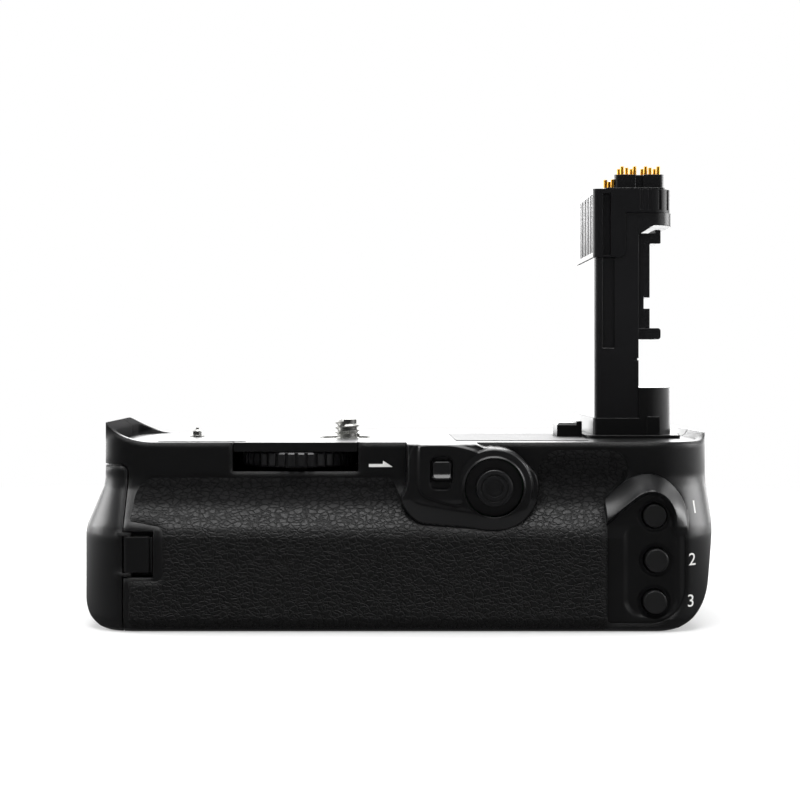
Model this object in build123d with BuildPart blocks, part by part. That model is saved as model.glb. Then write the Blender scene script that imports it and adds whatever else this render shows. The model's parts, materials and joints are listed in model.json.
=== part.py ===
from build123d import *
from math import atan, atan2, cos, degrees, pi, radians, sin, tan
import os

# Camera battery grip: it screws under a camera, holds two battery packs in a drawer and has a second set of
# controls for upright shots. All lengths are in millimetres.
# The origin is the mouth of the tripod socket, under the axis of the attachment screw. +X is the operator's
# right, +Y points to the front (the lens side), +Z is up.

# Fits shared by the whole grip
CUT = 2.0  # overrun of a cut past the face that it opens
RUN_FIT = 0.05  # radial clearance of a turning pin in its bore
MOVE_GAP = 0.3  # gap between pieces that move past each other
SEAM = 0.3  # width of the seam around the end cap

# Battery packs, from which the body takes its length and depth
PACK_LENGTH = 56.8
PACK_WIDTH = 38.4
PACK_HEIGHT = 21.0
PACK_CORNER_R = 2.0
PACK_X = 1.0  # where the two packs meet
PACK_Y = -1.4  # middle of the packs
CAP_ROOM = 6.2  # from the left pack to the left side
END_ROOM = 30.2  # from the right pack to the right side: terminals, tower and thumb controls
REAR_ROOM = 13.4  # from the packs to the rear face
FRONT_ROOM = 5.2
BULGE_D = 21.0

# Outline of the body in plan
BODY_LEFT = PACK_X - PACK_LENGTH - CAP_ROOM
BODY_RIGHT = PACK_X + PACK_LENGTH + END_ROOM
BODY_REAR = PACK_Y - PACK_WIDTH / 2 - REAR_ROOM
BODY_FRONT = PACK_Y + PACK_WIDTH / 2 + FRONT_ROOM
BULGE_FRONT = BODY_FRONT + BULGE_D
BULGE_LEFT = 12.0  # where the finger bulge reaches its full depth
BULGE_FOOT = -8.0  # where it leaves the flat front
CORNER_SLANT = 16.0  # the slanted front right corner that carries the release button
REAR_LEFT_R = 14.0
REAR_RIGHT_R = 16.0
SLANT_RIGHT_R = 5.0
SLANT_FRONT_R = 7.0
BULGE_R = 18.0
BULGE_FOOT_R = 13.0
FRONT_LEFT_R = 9.5

# Heights of the body
DECK_Z = 43.5  # the face that meets the camera
SHOULDER_Z = 35.0  # the rear and left sides lean outwards from here
CREASE_Z = 22.0  # down to here
FOOT_Z = 3.0  # the bottom edge is rounded below this
REAR_LEAN = 8.0
LEFT_LEAN = 4.5
FOOT_INSET = 2.2
LEAN_HEIGHT_SHARES = (0.0, 0.16, 0.84, 1.0)
LEAN_INSET_SHARES = (0.0, 0.08, 0.92, 1.0)
FOOT_HEIGHT_SHARES = (0.0, 0.3, 1.0)
FOOT_INSET_SHARES = (1.0, 0.35, 0.0)

# End view of the top and bottom corners
CRADLE_Z = 48.0  # tip of the raised cradle at the left end
CRADLE_TIP_X = BODY_LEFT + 4.5
CRADLE_FOOT_X = BODY_LEFT + 16.5
RIM_Z = 45.3  # raised rim at the right end
RIM_FOOT_X = BODY_RIGHT - 3.0
RIM_TIP_X = BODY_RIGHT - 1.2
LEFT_TOE_R = 9.0
RIGHT_TOE_R = 13.0
RIGHT_TAPER_Z = 29.0
RIGHT_TAPER = 4.0

# Walls
WALL = 2.4
DECK_T = 2.0
SKIN_T = 0.8  # leather skins lie in a recess of this depth
PARTING_Y = 4.0  # the rear and front covers meet here
PLATE_T = 2.2

# Drawer, its compartment and the battery packs
SEAM_X = BODY_LEFT + 10.6
CAP_TOP_Z = 38.0
CAP_CORNER_R = 1.6
CAP_WALL = 2.0
TRAY_T = 1.0
TRAY_SIDE_H = 12.0
BAY_T = 1.2
BAY_END_T = 1.4
BAY_CEILING_T = 1.4
BAY_FLOOR_Z = 6.4
BAY_CLEAR = 0.4  # beside, under and over the tray
TERMINAL_T = 1.2

# Gear train of the attachment screw
GEAR_MODULE = 0.8
WHEEL_TEETH = 26
SCREW_TEETH = 18
GEAR_T = 3.2
GEAR_GAP = 0.8  # from the compartment's ceiling up to the gears
PRESSURE_ANGLE = 20.0
BACKLASH = 0.12
WHEEL_X = -11.5
WHEEL_R = 13.6
WHEEL_T = 3.5
WHEEL_TOP_GAP = 0.4
RIB_COUNT = 36
RIB_GROOVE_D = 0.7
RIB_GROOVE_W = 0.8
WHEEL_BEVEL = 0.45
AXLE_R = 1.5
HUB_R = 4.0
SCREW_R = 3.175  # quarter inch thread, on what stands out of the dish
SCREW_SHANK_R = 2.9
SCREW_RISE = 4.6
SCREW_TIP_BEVEL = 0.7
SCREW_PIVOT_R = 2.0
DISH_R = 8.9
DISH_T = 1.2
DISH_BEVEL = 0.5

# Tripod socket in the bottom plate
SOCKET_THREAD_R = 3.175
SOCKET_R = 5.5
SOCKET_FLANGE_R = 8.0
SOCKET_FLANGE_T = 1.2
SOCKET_DEPTH = 5.4

# Latch of the drawer, a square flap in the rear face
LATCH_LEFT = BODY_LEFT + 10.8
LATCH_RIGHT = BODY_LEFT + 16.9
LATCH_BOTTOM = 13.9
LATCH_TOP = 22.1
LATCH_FACE_Y = BODY_REAR + 0.1
LATCH_T = 2.0
LATCH_PIN_R = 0.6
LATCH_LUG_T = 0.8
LATCH_LUG_GAP = 0.15
LATCH_GRIP_D = 0.7
LATCH_GRIP_W = 1.6
TONGUE_T = 2.0
TONGUE_RIM = 0.3  # how far the tongue reaches past the flap
LATCH_FRAME = 2.2  # bare frame left around the latch by the skin

# Control plinth with the joystick and the small button
STICK_X = BODY_RIGHT - 53.2
STICK_Z = 33.2
PLINTH_Y = BODY_REAR + 2.8
PLINTH_WALL = 1.2
PLINTH_FACE_T = 2.0
PLINTH_R = 9.0
PLINTH_LEFT = BODY_RIGHT - 73.0
PLINTH_BOTTOM = 25.6
PLINTH_SHELF = BODY_RIGHT - 63.5  # where its top edge starts to slant down to the ring
PLINTH_CORNER_R = 4.0
PLINTH_EDGE = 1.2
RING_R = 8.3
RING_BORE_R = 7.2
RING_RISE = 0.9
BOWL_R = 5.6
CAP_R = 4.3
CAP_T = 2.4
CAP_FACE_Y = BODY_REAR + 1.4
CAP_DIMPLE_R = 2.9
CAP_DIMPLE_D = 0.35
CAP_ROUND = 0.5
STICK_PRESS = 0.4
STEM_R = 0.9
PIVOT_Y = BODY_REAR + 7.1
TRUNNION_R = 0.5
YOKE_X = 4.4  # half width of the yoke's ring
YOKE_Z = 3.9  # its half height
YOKE_WALL = 1.1
YOKE_T = 1.5
YOKE_END_GAP = 0.3
STEM_BLOCK = 1.6
BRACKET_EAR_T = 0.8
BRACKET_T = 0.5
BOARD_T = 0.8

AREA_X = BODY_RIGHT - 65.4
AREA_Z = 37.2
AREA_W = 4.55
AREA_H = 4.5
AREA_RISE = 0.8
AREA_TRAVEL = 0.5
AREA_CORNER_R = 0.9
AREA_BEVEL = 1.1
AREA_POCKET_D = 0.6
AREA_POCKET_DROP = 2.6  # the thumb dish under the small button
AREA_POCKET_RIM = 0.75
FLANGE_RIM = 0.6
FLANGE_T = 0.6
SWITCH_R = 1.2
SWITCH_T = 0.9
PUSHER_R = 1.0

# Thumb panel with three buttons
THUMB_RIGHT = BODY_RIGHT - 9.0
THUMB_WIDTH = 18.3
THUMB_LEFT = THUMB_RIGHT - THUMB_WIDTH
THUMB_INSET = (7.1, 6.8, 7.2)  # from the panel's right side to the middle of each button
THUMB_X = [THUMB_RIGHT - inset for inset in THUMB_INSET]
THUMB_CREST_X = THUMB_RIGHT - 8.2
LOW_POCKET_LEFT = THUMB_LEFT + 3.8
THUMB_Z = (26.8, 16.5, 6.9)
THUMB_R = 2.72
THUMB_HOLE_R = 3.05
THUMB_RISE = 1.6
THUMB_TRAVEL = 0.5
THUMB_ROUND = 0.4
THUMB_Y = BODY_REAR + 0.4
THUMB_BACK_Y = BODY_REAR + 4.1
THUMB_BOTTOM = 2.0
THUMB_LOW_R = 8.5
THUMB_CREST_Z = 36.4
THUMB_CREST_R = 8.0
THUMB_SHOULDER_Z = 28.2
THUMB_SIDE_Z = 31.0
THUMB_EDGE = 1.3
HOOD_D = 2.3
HOOD_WALL = 3.1
HOOD_FLOOR_Z = 22.9
LOW_POCKET_D = 1.5
LOW_POCKET_TOP = 21.0
LOW_POCKET_RIM = 1.3
LOW_POCKET_R = 5.0
POCKET_R = 3.0
THUMB_BOARD_Y = BODY_REAR + 7.1
POST_R = 1.0

# Skins
SKIN_LEFT = BODY_LEFT + 12.1
SKIN_BOTTOM = 1.0
SKIN_TOP = 35.2
SKIN_RAISED_TOP = 41.7
SKIN_RAISED_LEFT = BODY_RIGHT - 42.7
SKIN_RAISED_RIGHT = BODY_RIGHT - 21.1
SKIN_RIGHT = BODY_RIGHT - 27.6
SKIN_NECK_Z = 28.5
SKIN_NECK_TOP_Z = 35.5
SKIN_GAP = 0.8  # bare land between a skin and the plinth
# Corner radii of the rear skin, anticlockwise from its lower left corner
SKIN_RADII = (2.0, 0.5, 6.0, 3.5, 4.5, 6.0, 6.0, 6.0, 5.0, 2.0, 5.0, 0.5, 1.6, 1.6, 0.5)
FRONT_SKIN_LEFT = BODY_LEFT + 15.0
FRONT_SKIN_RIGHT = BODY_RIGHT - 29.0
FRONT_SKIN_TOP = 38.5
FRONT_SKIN_R = 6.0

# Wheel window
WINDOW_LEFT = -26.6
WINDOW_RIGHT = 3.1
WINDOW_BOTTOM = 36.6
STRIP_GAP = 0.3
STRIP_DROP = 2.2

# Small plates on the deck
LEFT_PLATE_LEFT = BODY_LEFT + 17.0
LEFT_PLATE_RIGHT = BODY_LEFT + 38.2
LEFT_PLATE_REAR = -22.5
LEFT_PLATE_FRONT = 18.5
PAD_LEFT = BODY_RIGHT - 61.5
PAD_RIGHT = BODY_RIGHT - 29.5
PAD_REAR = -19.6
PAD_FRONT = 18.5
PAD_T = 0.55
PAD_RISE = 0.15
PAD_R = 1.5
SLOT_L = 2.7
SLOT_W = 1.2
PIN_X = BODY_LEFT + 23.9
PIN_Y = 1.0
PIN_RING_R = 1.9
PIN_RING_T = 0.3
PIN_R = 1.15
PIN_RISE = 1.5
PIN_TIP_R = 0.45
PIN_TIP_RISE = 2.4
PIN_ROOT = 1.2

# Tower that fills the camera's battery well
TOWER_LEFT = BODY_RIGHT - 26.05
TOWER_RIGHT = BODY_RIGHT - 5.9
TOWER_REAR = -5.0
TOWER_FRONT = 30.6
TOWER_TOP = 105.8
FLANGE_LEFT = BODY_RIGHT - 28.4
FLANGE_RIGHT = BODY_RIGHT - 4.8
FLANGE_EDGE = 2.6
FLANGE_PLATE_T = 0.8
FLANGE_TAB_L = 1.0
FLANGE_TAB_W = 6.0
FLANGE_TAB_Y = 4.0
FOOT_RIM = 0.35
LEDGE_Z = 48.5
FOOT_TOP = 56.1
SHANK_RIGHT = BODY_RIGHT - 15.1
FOOT_R = 8.0
SPINE_RIGHT = BODY_RIGHT - 12.05
SPINE_NOTCH_LOW = 75.9
SPINE_NOTCH_HIGH = 78.7
SPINE_NOTCH_D = 1.5
SPINE_LOW = 71.0
SPINE_HIGH = 92.2
SPINE_REAR = -3.4
SPINE_FRONT = 27.0
HOOK_LOW = 96.7
HOOK_HIGH = 99.9
HOOK_SLANT_X = BODY_RIGHT - 11.3
HOOK_SLANT_LOW = 94.3
HEAD_BOTTOM = 88.75
HEAD_NECK_X = BODY_RIGHT - 18.4
HEAD_PROUD = 0.4
HEAD_CORNER_R = 1.6
HEAD_ROUND_R = 6.0
ROOT_RIM = 1.2
ROOT_Z = 35.0
TOWER_R = 1.2
TOWER_FAR_R = 5.0
PANEL_LEFT = BODY_RIGHT - 24.1
PANEL_RIGHT = BODY_RIGHT - 21.0
PANEL_LOW = 66.0
PANEL_D = 1.0
RIB_PITCH = 2.9
RIB_W = 1.1
RIB_D = 0.6
RIB_TOTAL = 5
CLIP_LEFT = BODY_RIGHT - 15.1
CLIP_RIGHT = BODY_RIGHT - 9.3
CLIP_T = 2.8
UPPER_CLIP_T = 3.5
CLIP_REAR = -3.4
CLIP_W = 9.0
CLIP_LIP = 1.4
CLIP_LIP_H = 0.9
UPPER_CLIP_Z = 92.2
LOWER_CLIP_Z = 68.2
CONTACT_LEFT = BODY_RIGHT - 20.4
CONTACT_RIGHT = BODY_RIGHT - 7.4
CONTACT_REAR = 0.5
CONTACT_DEPTH = 9.5
CONTACT_FLANGE_LEFT = BODY_RIGHT - 22.8
CONTACT_FLANGE_T = 0.9
CONTACT_T = 3.4
CONTACT_R = 1.3
CONTACT_NOTCH_W = 2.0
CONTACT_NOTCH_D = 1.2
CONTACT_PIN_R = 0.36
CONTACT_PIN_RISE = 2.3
CONTACT_PIN_ROOT = 2.4
CONTACT_PITCH = 1.6
CONTACT_GROUP_GAP = 6.0
CONTACT_PIN_X = BODY_RIGHT - 13.4  # middle between the two groups of pins
CONTACT_ROW_GAP = 2.6
CONTACT_TRAVEL = 0.8
LOW_PIN_RISE = 3.2
LOW_PIN_INSET = (0.6, 2.1, 2.15)  # from the left side of the contacts' flange
LOW_PIN_Y = (3.0, 7.0, 1.4)
TOWER_BOARD_T = 1.0
TOWER_BOARD_X = BODY_RIGHT - 19.5
TOWER_BOARD_W = 22.0

# Block on the deck beside the tower
BLOCK_LEFT = BODY_RIGHT - 34.9
BLOCK_RIGHT = BODY_RIGHT - 28.6
BLOCK_REAR = 0.0
BLOCK_FRONT = 9.0
BLOCK_RISE = 3.6
BLOCK_RIB_W = 1.4
BLOCK_RIB_RISE = 0.4
BLOCK_R = 0.6

# Controls at the front right corner
RELEASE_Z = 30.0
RELEASE_R = 4.5
RELEASE_RISE = 1.6
RELEASE_TRAVEL = 0.8
RELEASE_RING_R = 6.6
RELEASE_RING_RISE = 0.5
RELEASE_CROWN = 0.5
LEVER_Z = 14.5
LEVER_R = 5.2
LEVER_T = 1.6
LEVER_STUD_R = 2.2
LEVER_TAB_L = 7.6
LEVER_TAB_W = 3.2
DIAL_X = BODY_RIGHT - 8.8
DIAL_Y = 12.0
DIAL_Z = 28.0
DIAL_R = 8.6
DIAL_T = 6.0
DIAL_RIBS = 24
DIAL_GROOVE_W = 0.9
DIAL_GROOVE_D = 0.5
FUNCTION_Z = 28.0
FUNCTION_R = 2.4
FUNCTION_RISE = 0.7
FUNCTION_TRAVEL = 0.5

# Screws of the case
CASE_SCREW_R = 1.0
CASE_SCREW_HEAD_R = 1.9
CASE_SCREW_HEAD_T = 0.9
CASE_SCREW_L = 3.6

# Small sizes shared by the controls and the case
PLATE_CORNER_R = 6.0
CUP_WALL = 0.8
RELEASE_CUP_D = 5.0
END_GAP = 0.1  # what is left between a pressed button and its switch
CAP_ROOF_T = 0.5
THUMB_SKIRT_Y = BODY_REAR + 9.0
FUNCTION_X = BODY_RIGHT - 22.8
FUNCTION_DISH_D = 1.0
FUNCTION_DISH_SLANT = 30.0
LEVER_GAP = 0.3
DIAL_RECESS_D = 1.4
DIAL_AXLE_R = 1.2
DIAL_PLATE_T = 1.0
DIAL_BRACKET_W = 9.0
ROOT_SHARE = 1.25  # depth of a tooth below the pitch circle, in modules
FLANK_STEPS = 4

bay_half = PACK_WIDTH / 2 + TRAY_T + BAY_CLEAR
tray_floor_z = BAY_FLOOR_Z + BAY_T + BAY_CLEAR
pack_floor_z = tray_floor_z + TRAY_T
pack_top_z = pack_floor_z + PACK_HEIGHT
bay_top_z = pack_top_z + TRAY_T + BAY_CEILING_T
packs_left = PACK_X - PACK_LENGTH - MOVE_GAP / 2
packs_right = PACK_X + PACK_LENGTH + MOVE_GAP / 2
tray_right = packs_right + TRAY_T
bay_right = tray_right + MOVE_GAP + TERMINAL_T + BAY_END_T
gear_z = bay_top_z + GEAR_GAP
deck_under_z = DECK_Z - DECK_T
wheel_top_z = deck_under_z - WHEEL_TOP_GAP
wheel_z = wheel_top_z - WHEEL_T
gear_tip_r = GEAR_MODULE * (WHEEL_TEETH / 2 + 1)
gear_centres = GEAR_MODULE * (WHEEL_TEETH + SCREW_TEETH) / 2
WHEEL_Y = -((gear_centres**2 - WHEEL_X**2) ** 0.5)


def inset_polygon(points, inset):
    """Moves every side of a counter-clockwise polygon inwards."""
    moved = []
    for index, corner in enumerate(points):
        incoming = (corner - points[index - 1]).normalized()
        outgoing = (points[(index + 1) % len(points)] - corner).normalized()
        first = Vector(-incoming.Y, incoming.X)
        second = Vector(-outgoing.Y, outgoing.X)
        moved.append(corner + (first + second) * (inset / (1 + first.dot(second))))
    return moved


def plan_section(height, inset, lean_share):
    """Rounded plan outline of the body at one height, leaning in at the rear and the left."""
    left = BODY_LEFT + LEFT_LEAN * lean_share
    rear = BODY_REAR + REAR_LEAN * lean_share
    corners = [
        Vector(left, rear),
        Vector(BODY_RIGHT, rear),
        Vector(BODY_RIGHT, BULGE_FRONT - CORNER_SLANT),
        Vector(BODY_RIGHT - CORNER_SLANT, BULGE_FRONT),
        Vector(BULGE_LEFT, BULGE_FRONT),
        Vector(BULGE_FOOT, BODY_FRONT),
        Vector(left, BODY_FRONT),
    ]
    rear_left_r = REAR_LEFT_R - REAR_LEAN * lean_share
    radii = [rear_left_r, REAR_RIGHT_R, SLANT_RIGHT_R, SLANT_FRONT_R, BULGE_R, BULGE_FOOT_R, FRONT_LEFT_R]
    inward = [1, 1, 1, 1, 1, -1, 1]
    rounded = [radius - side * inset for radius, side in zip(radii, inward)]
    with BuildSketch(Plane.XY.offset(height)) as section:
        with BuildLine():
            FilletPolyline(*inset_polygon(corners, inset), radius=rounded, close=True)
        make_face()
    return section.sketch


def end_view(inset, covered):
    """Outline of the body seen from the rear; the covered one has the cradle and the rim on its top."""
    left = BODY_LEFT + inset
    right = BODY_RIGHT - inset
    top = CRADLE_Z if covered else deck_under_z
    start = Vector(left, top)
    finish = Vector(right, RIM_Z if covered else deck_under_z)
    with BuildSketch(Plane.XZ) as view:
        with BuildLine():
            FilletPolyline(
                start,
                Vector(left, inset),
                Vector(right - RIGHT_TAPER, inset),
                Vector(right, RIGHT_TAPER_Z),
                finish,
                radius=[LEFT_TOE_R - inset, RIGHT_TOE_R - inset, REAR_RIGHT_R],
            )
            if covered:
                Line(finish, (RIM_TIP_X, RIM_Z))
                TangentArc((RIM_FOOT_X, DECK_Z), (RIM_TIP_X, RIM_Z), tangent=(1, 0))
                Line((RIM_FOOT_X, DECK_Z), (CRADLE_FOOT_X, DECK_Z))
                TangentArc((CRADLE_FOOT_X, DECK_Z), (CRADLE_TIP_X, CRADLE_Z), tangent=(-1, 0))
                Line((CRADLE_TIP_X, CRADLE_Z), start)
            else:
                Line(finish, start)
        make_face()
    return view.sketch


def body_form(inset, covered):
    """The whole body as one solid, with every outside face moved inwards by the inset."""
    levels = []
    for height_share, inset_share in zip(FOOT_HEIGHT_SHARES, FOOT_INSET_SHARES):
        levels.append(plan_section(FOOT_Z * height_share, inset + FOOT_INSET * inset_share, 0))
    for height_share, lean_share in zip(LEAN_HEIGHT_SHARES, LEAN_INSET_SHARES):
        height = CREASE_Z + (SHOULDER_Z - CREASE_Z) * height_share
        levels.append(plan_section(height, inset, lean_share))
    levels.append(plan_section(CRADLE_Z, inset, 1))
    with BuildPart() as form:
        loft(sections=levels, ruled=True)
        extrude(end_view(inset, covered), amount=BODY_RIGHT - BODY_LEFT, both=True, mode=Mode.INTERSECT)
    return form.part


def span_box(x_low, x_high, y_low, y_high, z_low, z_high):
    """A plain block between two corners, kept apart from any builder."""
    size = (x_high - x_low, y_high - y_low, z_high - z_low)
    middle = ((x_low + x_high) / 2, (y_low + y_high) / 2, (z_low + z_high) / 2)
    return Pos(*middle) * Box(*size, mode=Mode.PRIVATE)


def save(part, name):
    """Labels one finished piece and writes it to its own file."""
    part.label = name
    export_step(part, os.path.join("parts", name + ".step"))


os.makedirs("parts", exist_ok=True)

outer_form = body_form(0, True)
skin_form = body_form(SKIN_T, True)
inner_form = body_form(WALL, False)

latch_back_y = LATCH_FACE_Y + LATCH_T
latch_pin_x = LATCH_LEFT + LATCH_T / 2
latch_pin_y = LATCH_FACE_Y + LATCH_T / 2
tongue_face_y = latch_back_y + MOVE_GAP
tongue_back_y = tongue_face_y + TONGUE_T
tongue_right = LATCH_RIGHT + TONGUE_RIM
tongue_bottom = LATCH_BOTTOM - LATCH_LUG_GAP - LATCH_LUG_T
tongue_top = LATCH_TOP + LATCH_LUG_GAP + LATCH_LUG_T
niche_right = tongue_right + 2 * MOVE_GAP
niche_bottom = tongue_bottom - MOVE_GAP
niche_top = tongue_top + MOVE_GAP

magazine_left = BODY_LEFT - CUT


def slab(outline, face_y, back_y):
    """Extrudes a sketch drawn in the rear view between two depths, kept apart from any builder."""
    return Pos(0, back_y, 0) * extrude(outline, amount=back_y - face_y, mode=Mode.PRIVATE)


def rear_outline(points, radii):
    """Closed outline in the rear view from (x, z) corners with a radius at each."""
    with BuildSketch(Plane.XZ) as outline:
        with BuildLine():
            FilletPolyline(*points, radius=radii, close=True)
        make_face()
    return outline.sketch


# Regions that the covers leave to other pieces
with BuildSketch(Plane.XZ) as cap_region:
    with BuildLine():
        FilletPolyline(
            (magazine_left, -CUT),
            (SEAM_X, -CUT),
            (SEAM_X, CAP_TOP_Z),
            (magazine_left, CAP_TOP_Z),
            radius=[0, 0, CAP_CORNER_R, 0],
            close=True,
        )
    make_face()
with BuildSketch(Plane.XZ) as cap_cut:
    with BuildLine():
        FilletPolyline(
            (magazine_left, -CUT),
            (SEAM_X + SEAM, -CUT),
            (SEAM_X + SEAM, CAP_TOP_Z + SEAM),
            (magazine_left, CAP_TOP_Z + SEAM),
            radius=[0, 0, CAP_CORNER_R + SEAM, 0],
            close=True,
        )
    make_face()
cap_block = slab(cap_region.sketch, BODY_REAR - CUT, BULGE_FRONT)
cap_cut_block = slab(cap_cut.sketch, BODY_REAR - CUT, BULGE_FRONT)

with BuildSketch(Plane.XZ) as plinth_outline:
    with BuildLine():
        FilletPolyline(
            (PLINTH_LEFT, DECK_Z - STRIP_GAP),
            (PLINTH_LEFT, PLINTH_BOTTOM),
            (STICK_X - PLINTH_R / 2, PLINTH_BOTTOM - STRIP_GAP),
            (STICK_X, STICK_Z),
            (STICK_X - PLINTH_R / 2, STICK_Z + PLINTH_R),
            (PLINTH_SHELF, DECK_Z - STRIP_GAP),
            radius=[0, PLINTH_CORNER_R, 0, 0, 0, 0],
            close=True,
        )
    make_face()
    with Locations((STICK_X, STICK_Z)):
        Circle(PLINTH_R)
thumb_outline = rear_outline(
    [
        (THUMB_LEFT, THUMB_BOTTOM),
        (THUMB_RIGHT, THUMB_BOTTOM),
        (THUMB_RIGHT, THUMB_SIDE_Z),
        (THUMB_CREST_X, THUMB_CREST_Z),
        (THUMB_LEFT, THUMB_SHOULDER_Z),
    ],
    [THUMB_EDGE, THUMB_LOW_R, LOW_POCKET_R, THUMB_CREST_R, THUMB_EDGE],
)
skin_outline = rear_outline(
    [
        (SKIN_LEFT, SKIN_BOTTOM),
        (SKIN_RIGHT, SKIN_BOTTOM),
        (SKIN_RIGHT, SKIN_NECK_Z),
        (SKIN_RAISED_RIGHT, SKIN_NECK_TOP_Z),
        (SKIN_RAISED_RIGHT, SKIN_RAISED_TOP),
        (SKIN_RAISED_LEFT, SKIN_RAISED_TOP),
        (SKIN_RAISED_LEFT, STICK_Z - PLINTH_R / 2),
        (SKIN_RAISED_LEFT - PLINTH_R, STICK_Z - PLINTH_R - SKIN_GAP),
        (PLINTH_LEFT + SKIN_GAP, PLINTH_BOTTOM - SKIN_GAP),
        (PLINTH_LEFT - PLINTH_CORNER_R, SKIN_TOP),
        (SKIN_LEFT + PLINTH_EDGE, SKIN_TOP),
        (SKIN_LEFT, niche_top + LATCH_FRAME),
        (niche_right + LATCH_FRAME, niche_top + SKIN_GAP),
        (niche_right + LATCH_FRAME, niche_bottom - SKIN_GAP),
        (SKIN_LEFT, niche_bottom - SKIN_GAP),
    ],
    SKIN_RADII,
)

# Skins of the covers
with BuildPart() as rear_leather:
    add(outer_form)
    add(slab(skin_outline, BODY_REAR - CUT, PARTING_Y), mode=Mode.INTERSECT)
    add(skin_form, mode=Mode.SUBTRACT)
save(rear_leather.part, "rear_leather")

front_skin_outline = rear_outline(
    [
        (FRONT_SKIN_LEFT, SKIN_BOTTOM),
        (FRONT_SKIN_RIGHT, SKIN_BOTTOM),
        (FRONT_SKIN_RIGHT, FRONT_SKIN_TOP),
        (FRONT_SKIN_LEFT, FRONT_SKIN_TOP),
    ],
    FRONT_SKIN_R / 2,
)
with BuildPart() as front_leather:
    add(outer_form)
    add(slab(front_skin_outline, PARTING_Y + WALL, BULGE_FRONT + CUT), mode=Mode.INTERSECT)
    add(skin_form, mode=Mode.SUBTRACT)
save(front_leather.part, "front_leather")

# The deck, which fills the ring of the covers' top edges
with BuildPart() as deck_form:
    extrude(plan_section(deck_under_z, WALL, 1), amount=CRADLE_Z - deck_under_z)
    extrude(end_view(0, True), amount=BODY_RIGHT - BODY_LEFT, both=True, mode=Mode.INTERSECT)

rear_wall_y = BODY_REAR + REAR_LEAN
rear_wall_inner_y = rear_wall_y + WALL
plate_left = SEAM_X + 3 * WALL
plate_right = BODY_RIGHT - RIGHT_TAPER - RIGHT_TOE_R - 2 * WALL
plate_rear = THUMB_SKIRT_Y + MOVE_GAP
plate_front = BODY_FRONT - FOOT_INSET - 2 * WALL
with BuildSketch() as plate_outline:
    with Locations(((plate_left + plate_right) / 2, (plate_rear + plate_front) / 2)):
        RectangleRounded(plate_right - plate_left, plate_front - plate_rear, PLATE_CORNER_R)

# Slanted corner at the front right, with the release button and the power lever
slant_middle_x = BODY_RIGHT - CORNER_SLANT / 2
slant_middle_y = BULGE_FRONT - CORNER_SLANT / 2


def slant_plane(height):
    """Plane on the slanted corner with its normal pointing out of the grip."""
    return Plane(origin=(slant_middle_x, slant_middle_y, height), x_dir=(-1, 1, 0), z_dir=(1, 1, 0))


function_plane = Plane(
    origin=(FUNCTION_X, BULGE_FRONT - FUNCTION_DISH_D, FUNCTION_Z), x_dir=(-1, 0, 0), z_dir=(0, 1, 0)
)

# Rear cover
with BuildPart() as rear_cover:
    add(outer_form)
    add(slab(rear_outline(
        [
            (magazine_left, -CUT),
            (BODY_RIGHT + CUT, -CUT),
            (BODY_RIGHT + CUT, CRADLE_Z + CUT),
            (magazine_left, CRADLE_Z + CUT),
        ],
        0,
    ), BODY_REAR - CUT, PARTING_Y), mode=Mode.INTERSECT)
    add(inner_form, mode=Mode.SUBTRACT)
    add(deck_form.part, mode=Mode.SUBTRACT)
    add(cap_cut_block, mode=Mode.SUBTRACT)
    add(rear_leather.part, mode=Mode.SUBTRACT)
    extrude(plate_outline.sketch, amount=WALL, mode=Mode.SUBTRACT)
    add(slab(plinth_outline.sketch, BODY_REAR - CUT, rear_wall_inner_y), mode=Mode.SUBTRACT)
    add(slab(thumb_outline, BODY_REAR - CUT, THUMB_SKIRT_Y), mode=Mode.SUBTRACT)
    add(
        span_box(SEAM_X - CUT, niche_right, BODY_REAR - CUT, BODY_REAR + 2 * WALL, niche_bottom, niche_top),
        mode=Mode.SUBTRACT,
    )
    add(
        span_box(
            WINDOW_LEFT, WINDOW_RIGHT, rear_wall_y - CUT, rear_wall_inner_y, WINDOW_BOTTOM, DECK_Z + CUT
        ),
        mode=Mode.SUBTRACT,
    )
    with Locations((WHEEL_X, WHEEL_Y, bay_top_z)):
        Cylinder(
            gear_tip_r + MOVE_GAP,
            WINDOW_BOTTOM - bay_top_z,
            align=(Align.CENTER, Align.CENTER, Align.MIN),
            mode=Mode.SUBTRACT,
        )
save(rear_cover.part, "rear_cover")

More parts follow.
